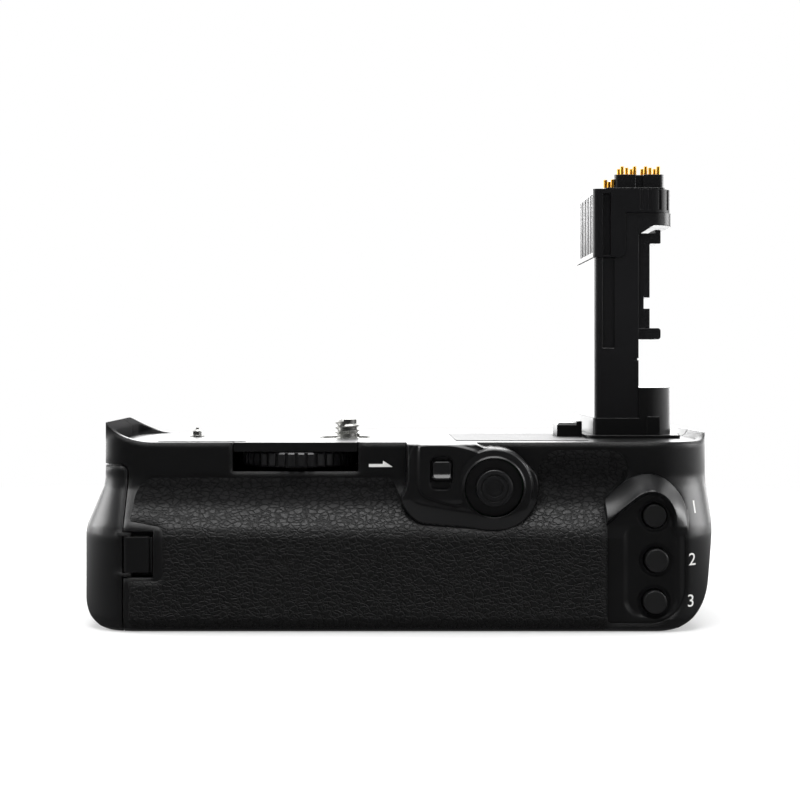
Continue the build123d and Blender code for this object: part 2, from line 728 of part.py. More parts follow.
# Front cover
dial_window_half = (DIAL_R**2 - (BODY_RIGHT - WALL - DIAL_X) ** 2) ** 0.5 + MOVE_GAP
dial_z = DIAL_Z - DIAL_T / 2
with BuildPart() as front_cover:
    add(outer_form)
    add(slab(rear_outline(
        [
            (magazine_left, -CUT),
            (BODY_RIGHT + CUT, -CUT),
            (BODY_RIGHT + CUT, CRADLE_Z + CUT),
            (magazine_left, CRADLE_Z + CUT),
        ],
        0,
    ), PARTING_Y, BULGE_FRONT + CUT), mode=Mode.INTERSECT)
    add(inner_form, mode=Mode.SUBTRACT)
    add(deck_form.part, mode=Mode.SUBTRACT)
    add(cap_cut_block, mode=Mode.SUBTRACT)
    add(front_leather.part, mode=Mode.SUBTRACT)
    extrude(plate_outline.sketch, amount=WALL, mode=Mode.SUBTRACT)
    add(
        span_box(
            BODY_RIGHT - DIAL_RECESS_D,
            BODY_RIGHT + CUT,
            DIAL_Y - DIAL_R,
            DIAL_Y + DIAL_R,
            dial_z - DIAL_T / 3,
            dial_z + DIAL_T + DIAL_T / 3,
        ),
        mode=Mode.SUBTRACT,
    )
    add(
        span_box(
            BODY_RIGHT - 2 * WALL,
            BODY_RIGHT + CUT,
            DIAL_Y - dial_window_half,
            DIAL_Y + dial_window_half,
            dial_z - MOVE_GAP,
            dial_z + DIAL_T + MOVE_GAP,
        ),
        mode=Mode.SUBTRACT,
    )
    with BuildSketch(slant_plane(RELEASE_Z)):
        Circle(RELEASE_RING_R)
    extrude(amount=-RELEASE_CUP_D, mode=Mode.SUBTRACT)
    with BuildSketch(slant_plane(LEVER_Z)):
        Circle(LEVER_STUD_R)
    extrude(amount=LEVER_GAP + LEVER_T)
    with BuildSketch(function_plane):
        Circle(FUNCTION_R + FUNCTION_DISH_D + MOVE_GAP)
    extrude(amount=FUNCTION_DISH_D, taper=-FUNCTION_DISH_SLANT, mode=Mode.SUBTRACT)
    with BuildSketch(function_plane):
        Circle(FUNCTION_R + MOVE_GAP + CUP_WALL)
    extrude(amount=-RELEASE_CUP_D, mode=Mode.SUBTRACT)
save(front_cover.part, "front_cover")

# Top cover: the deck with its holes, and the strip over the wheel
foot_left = TOWER_LEFT - FOOT_RIM
foot_rear = TOWER_REAR - FOOT_RIM
foot_front = TOWER_FRONT + FOOT_RIM
root_left = TOWER_LEFT + ROOT_RIM
root_right = SHANK_RIGHT - ROOT_RIM
root_rear = TOWER_REAR + ROOT_RIM
root_front = TOWER_FRONT - ROOT_RIM
with BuildSketch() as root_outline:
    with Locations(((root_left + root_right) / 2, (root_rear + root_front) / 2)):
        Rectangle(root_right - root_left, root_front - root_rear)
with BuildPart() as top_cover:
    add(deck_form.part)
    add(
        span_box(
            WINDOW_LEFT + STRIP_GAP,
            WINDOW_RIGHT - STRIP_GAP,
            rear_wall_y,
            rear_wall_inner_y,
            DECK_Z - STRIP_DROP,
            DECK_Z,
        )
    )
    with Locations((0, 0, DECK_Z)):
        Hole(DISH_R, depth=DISH_T)
    with Locations((0, 0, DECK_Z)):
        Hole(SCREW_R + RUN_FIT + DISH_BEVEL)
    with Locations((WHEEL_X, WHEEL_Y, deck_under_z)):
        Cylinder(AXLE_R, DECK_T / 2, align=(Align.CENTER, Align.CENTER, Align.MIN), mode=Mode.SUBTRACT)
    with Locations((PIN_X, PIN_Y, DECK_Z)):
        Hole(PIN_R, depth=PIN_ROOT)
    extrude(root_outline.sketch, amount=DECK_Z + CUT, mode=Mode.SUBTRACT)
    with BuildSketch(Plane.XY.offset(DECK_Z - PAD_T + PAD_RISE)) as pad_outline:
        with Locations(((PAD_LEFT + PAD_RIGHT) / 2, (PAD_REAR + PAD_FRONT) / 2)):
            RectangleRounded(PAD_RIGHT - PAD_LEFT, PAD_FRONT - PAD_REAR, PAD_R)
        with Locations((BLOCK_RIGHT, (BLOCK_REAR + BLOCK_FRONT) / 2)):
            Rectangle(
                2 * (BLOCK_RIGHT - BLOCK_LEFT + MOVE_GAP),
                BLOCK_FRONT - BLOCK_REAR + 2 * MOVE_GAP,
                mode=Mode.SUBTRACT,
            )
    extrude(amount=PAD_T, mode=Mode.SUBTRACT)
    with BuildSketch(Plane.XY.offset(DECK_Z - PAD_T + PAD_RISE)) as left_plate_outline:
        with Locations(((LEFT_PLATE_LEFT + LEFT_PLATE_RIGHT) / 2, (LEFT_PLATE_REAR + LEFT_PLATE_FRONT) / 2)):
            RectangleRounded(
                LEFT_PLATE_RIGHT - LEFT_PLATE_LEFT, LEFT_PLATE_FRONT - LEFT_PLATE_REAR, PAD_R
            )
    extrude(amount=PAD_T, mode=Mode.SUBTRACT)
save(top_cover.part, "top_cover")

with BuildPart() as right_pad:
    extrude(pad_outline.sketch, amount=PAD_T)
save(right_pad.part, "right_pad")

with BuildPart() as left_plate:
    extrude(left_plate_outline.sketch, amount=PAD_T)
    with BuildSketch(Plane.XY.offset(DECK_Z + PAD_RISE)):
        with Locations((PIN_X, PIN_Y)):
            Circle(PIN_RING_R)
        with Locations(
            (PIN_X - SLOT_L, LEFT_PLATE_REAR + SLOT_L),
            (PIN_X + SLOT_L, LEFT_PLATE_FRONT - 2 * SLOT_L),
        ):
            SlotOverall(SLOT_L, SLOT_W)
    extrude(amount=-PAD_T, mode=Mode.SUBTRACT)
save(left_plate.part, "left_plate")

with BuildPart() as locating_pin:
    with BuildSketch(Plane.XZ.offset(-PIN_Y)):
        with BuildLine():
            Polyline(
                (PIN_X, DECK_Z - PIN_ROOT),
                (PIN_X + PIN_R, DECK_Z - PIN_ROOT),
                (PIN_X + PIN_R, DECK_Z - PAD_T + PAD_RISE),
                (PIN_X + PIN_RING_R, DECK_Z - PAD_T + PAD_RISE),
                (PIN_X + PIN_RING_R, DECK_Z + PAD_RISE + PIN_RING_T),
                (PIN_X + PIN_R, DECK_Z + PAD_RISE + PIN_RING_T),
                (PIN_X + PIN_R, DECK_Z + PIN_RISE),
                (PIN_X + PIN_TIP_R, DECK_Z + PIN_RISE + PIN_TIP_R),
                (PIN_X + PIN_TIP_R, DECK_Z + PIN_TIP_RISE),
                (PIN_X, DECK_Z + PIN_TIP_RISE),
                close=True,
            )
        make_face()
    revolve(axis=Axis((PIN_X, PIN_Y, 0), (0, 0, 1)))
save(locating_pin.part, "locating_pin")

# Bottom plate with the boss of the tripod socket and the posts under the compartment
post_places = [
    (plate_left + 2 * PLATE_CORNER_R, plate_rear + PLATE_CORNER_R),
    (plate_right - PLATE_CORNER_R, plate_rear + PLATE_CORNER_R),
    (plate_left + 2 * PLATE_CORNER_R, plate_front - PLATE_CORNER_R),
    (plate_right - PLATE_CORNER_R, plate_front - PLATE_CORNER_R),
]
with BuildPart() as bottom_plate:
    extrude(plate_outline.sketch, amount=PLATE_T)
    with BuildSketch(Plane.XY.offset(PLATE_T)):
        Circle(SOCKET_FLANGE_R)
        with Locations(*post_places):
            Circle(CASE_SCREW_HEAD_R + CUP_WALL)
    extrude(amount=BAY_FLOOR_Z - PLATE_T)
    with Locations((0, 0, 0)):
        Cylinder(
            SOCKET_FLANGE_R,
            SOCKET_FLANGE_T,
            align=(Align.CENTER, Align.CENTER, Align.MIN),
            mode=Mode.SUBTRACT,
        )
        Cylinder(
            SOCKET_R, BAY_FLOOR_Z, align=(Align.CENTER, Align.CENTER, Align.MIN), mode=Mode.SUBTRACT
        )
    with Locations(*[(x, y, 0) for x, y in post_places]):
        Cylinder(
            CASE_SCREW_R, CASE_SCREW_L, align=(Align.CENTER, Align.CENTER, Align.MIN), mode=Mode.SUBTRACT
        )
        Cylinder(
            CASE_SCREW_HEAD_R,
            CASE_SCREW_HEAD_T,
            align=(Align.CENTER, Align.CENTER, Align.MIN),
            mode=Mode.SUBTRACT,
        )
save(bottom_plate.part, "bottom_plate")

with BuildPart() as tripod_socket:
    Cylinder(SOCKET_FLANGE_R, SOCKET_FLANGE_T, align=(Align.CENTER, Align.CENTER, Align.MIN))
    Cylinder(SOCKET_R, BAY_FLOOR_Z, align=(Align.CENTER, Align.CENTER, Align.MIN))
    Cylinder(
        SOCKET_THREAD_R, SOCKET_DEPTH, align=(Align.CENTER, Align.CENTER, Align.MIN), mode=Mode.SUBTRACT
    )
save(tripod_socket.part, "tripod_socket")

with BuildPart() as case_screws:
    with Locations(*[(x, y, 0) for x, y in post_places]):
        Cylinder(CASE_SCREW_R, CASE_SCREW_L, align=(Align.CENTER, Align.CENTER, Align.MIN))
        Cylinder(CASE_SCREW_HEAD_R, CASE_SCREW_HEAD_T, align=(Align.CENTER, Align.CENTER, Align.MIN))
save(case_screws.part, "case_screws")

# Battery compartment, open at the left, with the bearings of the gear train in its ceiling
bay_left = SEAM_X + 2 * SEAM + BAY_T
bay_inner_right = bay_right - BAY_END_T
bay_rear = PACK_Y - bay_half - BAY_T
bay_front = PACK_Y + bay_half + BAY_T
with BuildPart() as battery_bay:
    add(span_box(bay_left, bay_right, bay_rear, bay_front, BAY_FLOOR_Z, bay_top_z))
    add(
        span_box(
            bay_left - CUT,
            bay_inner_right,
            bay_rear + BAY_T,
            bay_front - BAY_T,
            BAY_FLOOR_Z + BAY_T,
            bay_top_z - BAY_CEILING_T,
        ),
        mode=Mode.SUBTRACT,
    )
    with Locations((WHEEL_X, WHEEL_Y, bay_top_z)):
        Cylinder(HUB_R, GEAR_GAP - MOVE_GAP, align=(Align.CENTER, Align.CENTER, Align.MIN))
        Hole(AXLE_R, depth=BAY_CEILING_T)
    with Locations((WHEEL_X, WHEEL_Y, bay_top_z + GEAR_GAP)):
        Hole(AXLE_R, depth=GEAR_GAP)
    with Locations((0, 0, bay_top_z)):
        Cylinder(HUB_R, GEAR_GAP - MOVE_GAP, align=(Align.CENTER, Align.CENTER, Align.MIN))
    with Locations((0, 0, bay_top_z + GEAR_GAP)):
        Hole(SCREW_PIVOT_R + RUN_FIT, depth=GEAR_GAP + BAY_CEILING_T)
save(battery_bay.part, "battery_bay")

# Sprung terminals at the inner end of the compartment
with BuildPart() as bay_terminals:
    with BuildSketch(Plane.YZ.offset(bay_inner_right)):
        with Locations((PACK_Y, (pack_floor_z + pack_top_z) / 2)):
            RectangleRounded(PACK_WIDTH / 2, PACK_HEIGHT / 3, TERMINAL_T)
    extrude(amount=-TERMINAL_T / 2)
    with BuildSketch(Plane.YZ.offset(bay_inner_right - TERMINAL_T / 2)):
        with Locations((PACK_Y, (pack_floor_z + pack_top_z) / 2)):
            with GridLocations(PACK_WIDTH / 10, 0, 4, 1):
                Rectangle(TERMINAL_T, PACK_HEIGHT / 4)
    extrude(amount=-TERMINAL_T / 2)
save(bay_terminals.part, "bay_terminals")

# Drawer: end cap, tray, latch pin and the two packs
with BuildPart() as cap_hollow:
    add(inner_form)
    add(
        span_box(
            magazine_left, SEAM_X + CUT, BODY_REAR, BULGE_FRONT, 0, CAP_TOP_Z - CAP_WALL
        ),
        mode=Mode.INTERSECT,
    )
tray_left = packs_left - TRAY_T
tray_rear = PACK_Y - PACK_WIDTH / 2 - TRAY_T
tray_front = PACK_Y + PACK_WIDTH / 2 + TRAY_T
with BuildPart() as end_cap:
    add(outer_form)
    add(cap_block, mode=Mode.INTERSECT)
    add(cap_hollow.part, mode=Mode.SUBTRACT)
    add(
        span_box(
            BODY_LEFT + WALL / 2,
            tray_left,
            PACK_Y - PACK_WIDTH / 4,
            PACK_Y + PACK_WIDTH / 4,
            pack_floor_z,
            pack_floor_z + TRAY_SIDE_H / 2,
        )
    )
    add(
        span_box(
            SEAM_X - TONGUE_T, tongue_right, tongue_face_y, tongue_back_y, tongue_bottom, tongue_top
        )
    )
    for lug_low in (tongue_bottom, tongue_top - LATCH_LUG_T):
        add(
            span_box(
                SEAM_X - LATCH_T / 2,
                latch_pin_x + LATCH_T / 2,
                latch_pin_y - LATCH_T / 2,
                tongue_face_y,
                lug_low,
                lug_low + LATCH_LUG_T,
            )
        )
    with Locations((latch_pin_x, latch_pin_y, tongue_bottom)):
        Cylinder(
            LATCH_PIN_R,
            tongue_top - tongue_bottom,
            align=(Align.CENTER, Align.CENTER, Align.MIN),
            mode=Mode.SUBTRACT,
        )
save(end_cap.part, "end_cap")

with BuildPart() as latch_pin:
    with Locations((latch_pin_x, latch_pin_y, tongue_bottom)):
        Cylinder(LATCH_PIN_R, tongue_top - tongue_bottom, align=(Align.CENTER, Align.CENTER, Align.MIN))
save(latch_pin.part, "latch_pin")

with BuildPart() as drawer_latch:
    add(span_box(latch_pin_x, LATCH_RIGHT, LATCH_FACE_Y, latch_back_y, LATCH_BOTTOM, LATCH_TOP))
    with Locations((latch_pin_x, latch_pin_y, LATCH_BOTTOM)):
        Cylinder(LATCH_T / 2, LATCH_TOP - LATCH_BOTTOM, align=(Align.CENTER, Align.CENTER, Align.MIN))
        Cylinder(
            LATCH_PIN_R + RUN_FIT,
            LATCH_TOP - LATCH_BOTTOM,
            align=(Align.CENTER, Align.CENTER, Align.MIN),
            mode=Mode.SUBTRACT,
        )
    add(
        span_box(
            LATCH_RIGHT - LATCH_GRIP_W,
            LATCH_RIGHT + CUT,
            latch_back_y - LATCH_GRIP_D,
            latch_back_y + CUT,
            LATCH_BOTTOM + LATCH_GRIP_W,
            LATCH_TOP - LATCH_GRIP_W,
        ),
        mode=Mode.SUBTRACT,
    )
save(drawer_latch.part, "drawer_latch")

with BuildPart() as battery_tray:
    add(
        span_box(
            tray_left, tray_right, tray_rear, tray_front, tray_floor_z, pack_floor_z + TRAY_SIDE_H
        )
    )
    add(
        span_box(
            packs_left,
            packs_right,
            tray_rear + TRAY_T,
            tray_front - TRAY_T,
            pack_floor_z,
            pack_floor_z + TRAY_SIDE_H,
        ),
        mode=Mode.SUBTRACT,
    )
    with BuildSketch(Plane.YZ.offset(packs_right)):
        with Locations((PACK_Y, pack_floor_z + TRAY_SIDE_H)):
            Rectangle(PACK_WIDTH / 2, 2 * TRAY_SIDE_H - 2 * TRAY_T)
    extrude(amount=TRAY_T, mode=Mode.SUBTRACT)
save(battery_tray.part, "battery_tray")

for number, left in ((1, packs_left), (2, packs_right - PACK_LENGTH)):
    with BuildPart() as battery_pack:
        add(
            span_box(
                left,
                left + PACK_LENGTH,
                PACK_Y - PACK_WIDTH / 2,
                PACK_Y + PACK_WIDTH / 2,
                pack_floor_z,
                pack_top_z,
            )
        )
        fillet(battery_pack.edges().filter_by(Axis.Z), PACK_CORNER_R)
    save(battery_pack.part, f"battery_pack_{number}")


# Gear train and wheel
def gear_outline(teeth, turned):
    """Involute spur gear outline; the flanks are thinned by half the backlash on each side."""
    pitch_r = GEAR_MODULE * teeth / 2
    base_r = pitch_r * cos(radians(PRESSURE_ANGLE))
    tip_r = pitch_r + GEAR_MODULE
    root_r = pitch_r - GEAR_MODULE * ROOT_SHARE
    half_tooth = pi / (2 * teeth) - BACKLASH / (2 * pitch_r)
    involute_at_pitch = tan(radians(PRESSURE_ANGLE)) - radians(PRESSURE_ANGLE)
    start_r = max(base_r, root_r)
    flank = []
    for step in range(FLANK_STEPS + 1):
        radius = start_r + (tip_r - start_r) * step / FLANK_STEPS
        roll = ((radius / base_r) ** 2 - 1) ** 0.5 if radius > base_r else 0.0
        involute = roll - atan(roll)
        flank.append((radius, half_tooth + involute_at_pitch - involute))
    points = []
    for tooth in range(teeth):
        middle = 2 * pi * tooth / teeth + radians(turned)
        points.append((root_r, middle - flank[0][1]))
        points += [(radius, middle - angle) for radius, angle in flank]
        points += [(radius, middle + angle) for radius, angle in reversed(flank)]
        points.append((root_r, middle + flank[0][1]))
    return [(radius * cos(angle), radius * sin(angle)) for radius, angle in points]


mesh_direction = degrees(atan2(-WHEEL_Y, -WHEEL_X))
screw_mesh = mesh_direction + 180 + 180 / SCREW_TEETH
with BuildPart() as wheel_gear:
    with BuildSketch(Plane((WHEEL_X, WHEEL_Y, gear_z))):
        with BuildLine():
            Polyline(*gear_outline(WHEEL_TEETH, mesh_direction), close=True)
        make_face()
        Circle(AXLE_R + RUN_FIT, mode=Mode.SUBTRACT)
    extrude(amount=GEAR_T)
save(wheel_gear.part, "wheel_gear")

with BuildPart() as lock_wheel:
    with BuildSketch(Plane((WHEEL_X, WHEEL_Y, gear_z + GEAR_T))):
        Circle(HUB_R)
    extrude(amount=wheel_z - gear_z - GEAR_T)
    with BuildSketch(Plane((WHEEL_X, WHEEL_Y, wheel_z))):
        Circle(WHEEL_R)
    extrude(amount=WHEEL_T)
    round_edges = lock_wheel.edges().filter_by(GeomType.CIRCLE)
    chamfer(round_edges.filter_by(lambda edge: edge.radius > HUB_R), WHEEL_BEVEL)
    with BuildSketch(Plane((WHEEL_X, WHEEL_Y, wheel_z))):
        with PolarLocations(WHEEL_R, RIB_COUNT):
            Rectangle(2 * RIB_GROOVE_D, RIB_GROOVE_W)
    extrude(amount=WHEEL_T, mode=Mode.SUBTRACT)
    with BuildSketch(Plane((WHEEL_X, WHEEL_Y, gear_z))):
        Circle(AXLE_R + RUN_FIT)
    extrude(amount=DECK_Z, mode=Mode.SUBTRACT)
save(lock_wheel.part, "lock_wheel")

with BuildPart() as wheel_axle:
    with Locations((WHEEL_X, WHEEL_Y, bay_top_z - BAY_CEILING_T)):
        Cylinder(
            AXLE_R,
            deck_under_z + DECK_T / 2 - bay_top_z + BAY_CEILING_T,
            align=(Align.CENTER, Align.CENTER, Align.MIN),
        )
save(wheel_axle.part, "wheel_axle")

with BuildPart() as screw_gear:
    with BuildSketch(Plane.XY.offset(gear_z)):
        with BuildLine():
            Polyline(*gear_outline(SCREW_TEETH, screw_mesh), close=True)
        make_face()
        Circle(SCREW_SHANK_R, mode=Mode.SUBTRACT)
    extrude(amount=GEAR_T)
save(screw_gear.part, "screw_gear")

thread_z = DECK_Z - DISH_BEVEL + MOVE_GAP
with BuildPart() as attachment_screw:
    with Locations((0, 0, bay_top_z - BAY_CEILING_T)):
        Cylinder(
            SCREW_PIVOT_R,
            BAY_CEILING_T + GEAR_GAP,
            align=(Align.CENTER, Align.CENTER, Align.MIN),
        )
    with Locations((0, 0, gear_z)):
        Cylinder(SCREW_SHANK_R, thread_z - gear_z, align=(Align.CENTER, Align.CENTER, Align.MIN))
    with Locations((0, 0, thread_z)):
        Cylinder(SCREW_R, DECK_Z + SCREW_RISE - thread_z, align=(Align.CENTER, Align.CENTER, Align.MIN))
    chamfer(attachment_screw.edges().group_by(Axis.Z)[-1], SCREW_TIP_BEVEL)
save(attachment_screw.part, "attachment_screw")

with BuildPart() as screw_dish:
    with Locations((0, 0, DECK_Z - DISH_T)):
        Cylinder(DISH_R, DISH_T, align=(Align.CENTER, Align.CENTER, Align.MIN))
        Cylinder(
            SCREW_SHANK_R + RUN_FIT,
            DISH_T,
            align=(Align.CENTER, Align.CENTER, Align.MIN),
            mode=Mode.SUBTRACT,
        )
    with Locations((0, 0, DECK_Z - DISH_BEVEL)):
        Cylinder(
            DISH_R - DISH_T, DISH_BEVEL, align=(Align.CENTER, Align.CENTER, Align.MIN), mode=Mode.SUBTRACT
        )
save(screw_dish.part, "screw_dish")

# Control plinth
def rear_plane(depth):
    """Plane seen by the operator at one depth; sketches on it are drawn in x and z."""
    return Plane.XZ.offset(-depth)


plinth_back_y = PLINTH_Y + PLINTH_FACE_T
plinth_inside = offset(plinth_outline.sketch, amount=-PLINTH_WALL, mode=Mode.PRIVATE)
with BuildPart() as control_plinth:
    add(slab(plinth_outline.sketch, PLINTH_Y, rear_wall_inner_y))
    chamfer(control_plinth.faces().sort_by(Axis.Y)[0].edges(), PLINTH_EDGE)
    add(slab(plinth_inside, plinth_back_y, rear_wall_inner_y + CUT), mode=Mode.SUBTRACT)
    with BuildSketch(rear_plane(PLINTH_Y)):
        with Locations((STICK_X, STICK_Z)):
            Circle(RING_R)
    extrude(amount=RING_RISE)
    with BuildSketch(rear_plane(PLINTH_Y - RING_RISE)):
        with Locations((STICK_X, STICK_Z)):
            Circle(RING_BORE_R)
    with BuildSketch(rear_plane(plinth_back_y)):
        with Locations((STICK_X, STICK_Z)):
            Circle(BOWL_R)
    loft(mode=Mode.SUBTRACT)
    with BuildSketch(rear_plane(PLINTH_Y)):
        with Locations((AREA_X, AREA_Z - AREA_POCKET_DROP / 2)):
            RectangleRounded(
                AREA_W + 2 * AREA_POCKET_RIM,
                AREA_H + 2 * AREA_POCKET_RIM + AREA_POCKET_DROP,
                AREA_CORNER_R + AREA_POCKET_RIM,
            )
    extrude(amount=-AREA_POCKET_D, mode=Mode.SUBTRACT)
    with BuildSketch(rear_plane(PLINTH_Y)):
        with Locations((AREA_X, AREA_Z)):
            RectangleRounded(AREA_W + 2 * MOVE_GAP, AREA_H + 2 * MOVE_GAP, AREA_CORNER_R / 2)
    extrude(amount=-PLINTH_FACE_T, mode=Mode.SUBTRACT)
save(control_plinth.part, "control_plinth")

board_face_y = bay_rear - BOARD_T
area_flange_y = plinth_back_y + MOVE_GAP
area_pusher_y = board_face_y - SWITCH_T - AREA_TRAVEL - END_GAP
area_outline = rear_outline(
    [
        (AREA_X - AREA_W / 2, AREA_Z - AREA_H / 2),
        (AREA_X + AREA_W / 2, AREA_Z - AREA_H / 2),
        (AREA_X + AREA_W / 2, AREA_Z + AREA_H / 2),
        (AREA_X - AREA_W / 2, AREA_Z + AREA_H / 2),
    ],
    [0, 0, AREA_CORNER_R, AREA_CORNER_R],
)
with BuildPart() as area_button:
    add(slab(area_outline, PLINTH_Y - AREA_RISE, area_flange_y))
    face_edges = area_button.faces().sort_by(Axis.Y)[0].edges()
    chamfer(face_edges.filter_by(Axis.X).sort_by(Axis.Z)[0], AREA_BEVEL)
    with BuildSketch(rear_plane(area_flange_y)):
        with Locations((AREA_X, AREA_Z)):
            Rectangle(AREA_W + 2 * FLANGE_RIM, AREA_H + 2 * FLANGE_RIM)
    extrude(amount=-FLANGE_T)
    with BuildSketch(rear_plane(area_flange_y)):
        with Locations((AREA_X, AREA_Z)):
            Circle(PUSHER_R)
    extrude(amount=area_flange_y - area_pusher_y)
save(area_button.part, "area_button")

with BuildPart() as control_board:
    with BuildSketch(rear_plane(bay_rear)):
        with Locations((STICK_X, STICK_Z)):
            Circle(PLINTH_R - PLINTH_WALL - MOVE_GAP)
        with Locations(((AREA_X + STICK_X) / 2 - AREA_W / 2, (AREA_Z + STICK_Z) / 2 - AREA_RISE)):
            Rectangle(STICK_X - AREA_X + AREA_W / 2, PLINTH_R + PLINTH_WALL)
    extrude(amount=BOARD_T)
    with BuildSketch(rear_plane(board_face_y)):
        with Locations((AREA_X, AREA_Z)):
            Circle(SWITCH_R)
    extrude(amount=SWITCH_T)
save(control_board.part, "control_board")

# Joystick: bracket, yoke that tips up and down, stem that tips sideways, cap that presses in
ear_x = YOKE_X + YOKE_END_GAP
ear_tip_y = PIVOT_Y - TRUNNION_R - BRACKET_EAR_T
cap_bore_y = CAP_FACE_Y + CAP_DIMPLE_D + CAP_ROOF_T
stem_tip_y = cap_bore_y + STICK_PRESS + END_GAP
with BuildPart() as stick_bracket:
    with BuildSketch(rear_plane(board_face_y)):
        with Locations((STICK_X, STICK_Z)):
            Rectangle(2 * (ear_x + BRACKET_EAR_T), 2 * YOKE_Z)
    extrude(amount=BRACKET_T)
    with BuildSketch(rear_plane(board_face_y)):
        with Locations(
            (STICK_X - ear_x - BRACKET_EAR_T / 2, STICK_Z), (STICK_X + ear_x + BRACKET_EAR_T / 2, STICK_Z)
        ):
            Rectangle(BRACKET_EAR_T, 2 * (TRUNNION_R + BRACKET_EAR_T))
    extrude(amount=board_face_y - ear_tip_y)
    with BuildSketch(Plane.YZ.offset(STICK_X - PLINTH_R)):
        with Locations((PIVOT_Y, STICK_Z)):
            Circle(TRUNNION_R + RUN_FIT)
    extrude(amount=2 * PLINTH_R, mode=Mode.SUBTRACT)
save(stick_bracket.part, "stick_bracket")

with BuildPart() as stick_yoke:
    with BuildSketch(rear_plane(PIVOT_Y + YOKE_T / 2)):
        with Locations((STICK_X, STICK_Z)):
            Rectangle(2 * YOKE_X, 2 * YOKE_Z)
    extrude(amount=YOKE_T)
    with BuildSketch(Plane.YZ.offset(STICK_X - ear_x - BRACKET_EAR_T)):
        with Locations((PIVOT_Y, STICK_Z)):
            Circle(TRUNNION_R)
    extrude(amount=2 * (ear_x + BRACKET_EAR_T))
    with BuildSketch(rear_plane(PIVOT_Y + YOKE_T)):
        with Locations((STICK_X, STICK_Z)):
            Rectangle(2 * (YOKE_X - YOKE_WALL), 2 * (YOKE_Z - YOKE_WALL))
    extrude(amount=2 * YOKE_T, mode=Mode.SUBTRACT)
    with BuildSketch(Plane.XY.offset(STICK_Z - YOKE_Z)):
        with Locations((STICK_X, PIVOT_Y)):
            Circle(TRUNNION_R + RUN_FIT)
    extrude(amount=2 * YOKE_Z, mode=Mode.SUBTRACT)
save(stick_yoke.part, "stick_yoke")

with BuildPart() as stick_stem:
    with Locations((STICK_X, PIVOT_Y, STICK_Z)):
        Box(STEM_BLOCK, STEM_BLOCK, STEM_BLOCK)
        Cylinder(TRUNNION_R, 2 * YOKE_Z)
    with BuildSketch(rear_plane(PIVOT_Y)):
        with Locations((STICK_X, STICK_Z)):
            Circle(STEM_R)
    extrude(amount=PIVOT_Y - stem_tip_y)
save(stick_stem.part, "stick_stem")

with BuildPart() as stick_cap:
    with BuildSketch(rear_plane(CAP_FACE_Y + CAP_T)):
        with Locations((STICK_X, STICK_Z)):
            Circle(CAP_R)
    extrude(amount=CAP_T)
    fillet(stick_cap.faces().sort_by(Axis.Y)[0].edges(), CAP_ROUND)
    with BuildSketch(rear_plane(CAP_FACE_Y)):
        with Locations((STICK_X, STICK_Z)):
            Circle(CAP_DIMPLE_R)
    extrude(amount=-CAP_DIMPLE_D, mode=Mode.SUBTRACT)
    with BuildSketch(rear_plane(cap_bore_y)):
        with Locations((STICK_X, STICK_Z)):
            Circle(STEM_R + RUN_FIT)
    extrude(amount=-CAP_T, mode=Mode.SUBTRACT)
save(stick_cap.part, "stick_cap")

# Thumb panel: a hood over the top button, a pocket around the lower two
thumb_inside = offset(thumb_outline, amount=-PLINTH_WALL, mode=Mode.PRIVATE)
thumb_board_outline = offset(thumb_outline, amount=-PLINTH_WALL - MOVE_GAP, mode=Mode.PRIVATE)
hood_outline = rear_outline(
    [
        (THUMB_LEFT - CUT, HOOD_FLOOR_Z),
        (THUMB_RIGHT - 2 * LOW_POCKET_RIM, HOOD_FLOOR_Z),
        (THUMB_RIGHT - 2 * LOW_POCKET_RIM, THUMB_SIDE_Z),
        (THUMB_CREST_X, THUMB_CREST_Z - HOOD_WALL),
        (THUMB_LEFT - CUT, THUMB_SHOULDER_Z - HOOD_WALL),
    ],
    [0, POCKET_R, POCKET_R, POCKET_R, 0],
)
low_pocket_outline = rear_outline(
    [
        (LOW_POCKET_LEFT, THUMB_BOTTOM + LOW_POCKET_RIM / 2),
        (THUMB_RIGHT - LOW_POCKET_RIM, THUMB_BOTTOM + LOW_POCKET_RIM / 2),
        (THUMB_RIGHT - LOW_POCKET_RIM, LOW_POCKET_TOP),
        (LOW_POCKET_LEFT, LOW_POCKET_TOP),
    ],
    [POCKET_R, THUMB_LOW_R - LOW_POCKET_RIM, POCKET_R, POCKET_R],
)
with BuildPart() as thumb_panel:
    add(slab(thumb_outline, THUMB_Y, THUMB_SKIRT_Y))
    chamfer(thumb_panel.faces().sort_by(Axis.Y)[0].edges(), THUMB_EDGE)
    add(slab(thumb_inside, THUMB_BACK_Y, THUMB_SKIRT_Y + CUT), mode=Mode.SUBTRACT)
    add(slab(hood_outline, THUMB_Y - CUT, THUMB_Y + HOOD_D), mode=Mode.SUBTRACT)
    add(slab(low_pocket_outline, THUMB_Y - CUT, THUMB_Y + LOW_POCKET_D), mode=Mode.SUBTRACT)
    with BuildSketch(rear_plane(THUMB_BACK_Y)):
        with Locations(*zip(THUMB_X, THUMB_Z)):
            Circle(THUMB_HOLE_R)
    extrude(amount=THUMB_BACK_Y - THUMB_Y, mode=Mode.SUBTRACT)
    with BuildSketch(rear_plane(THUMB_BOARD_Y)):
        with Locations(
            (THUMB_LEFT + 2 * PLINTH_WALL + POST_R, THUMB_BOTTOM + 2 * PLINTH_WALL + POST_R),
            (THUMB_LEFT + 2 * PLINTH_WALL + POST_R, THUMB_SHOULDER_Z - 2 * PLINTH_WALL - POST_R),
        ):
            Circle(POST_R)
    extrude(amount=THUMB_BOARD_Y - THUMB_BACK_Y)
save(thumb_panel.part, "thumb_panel")

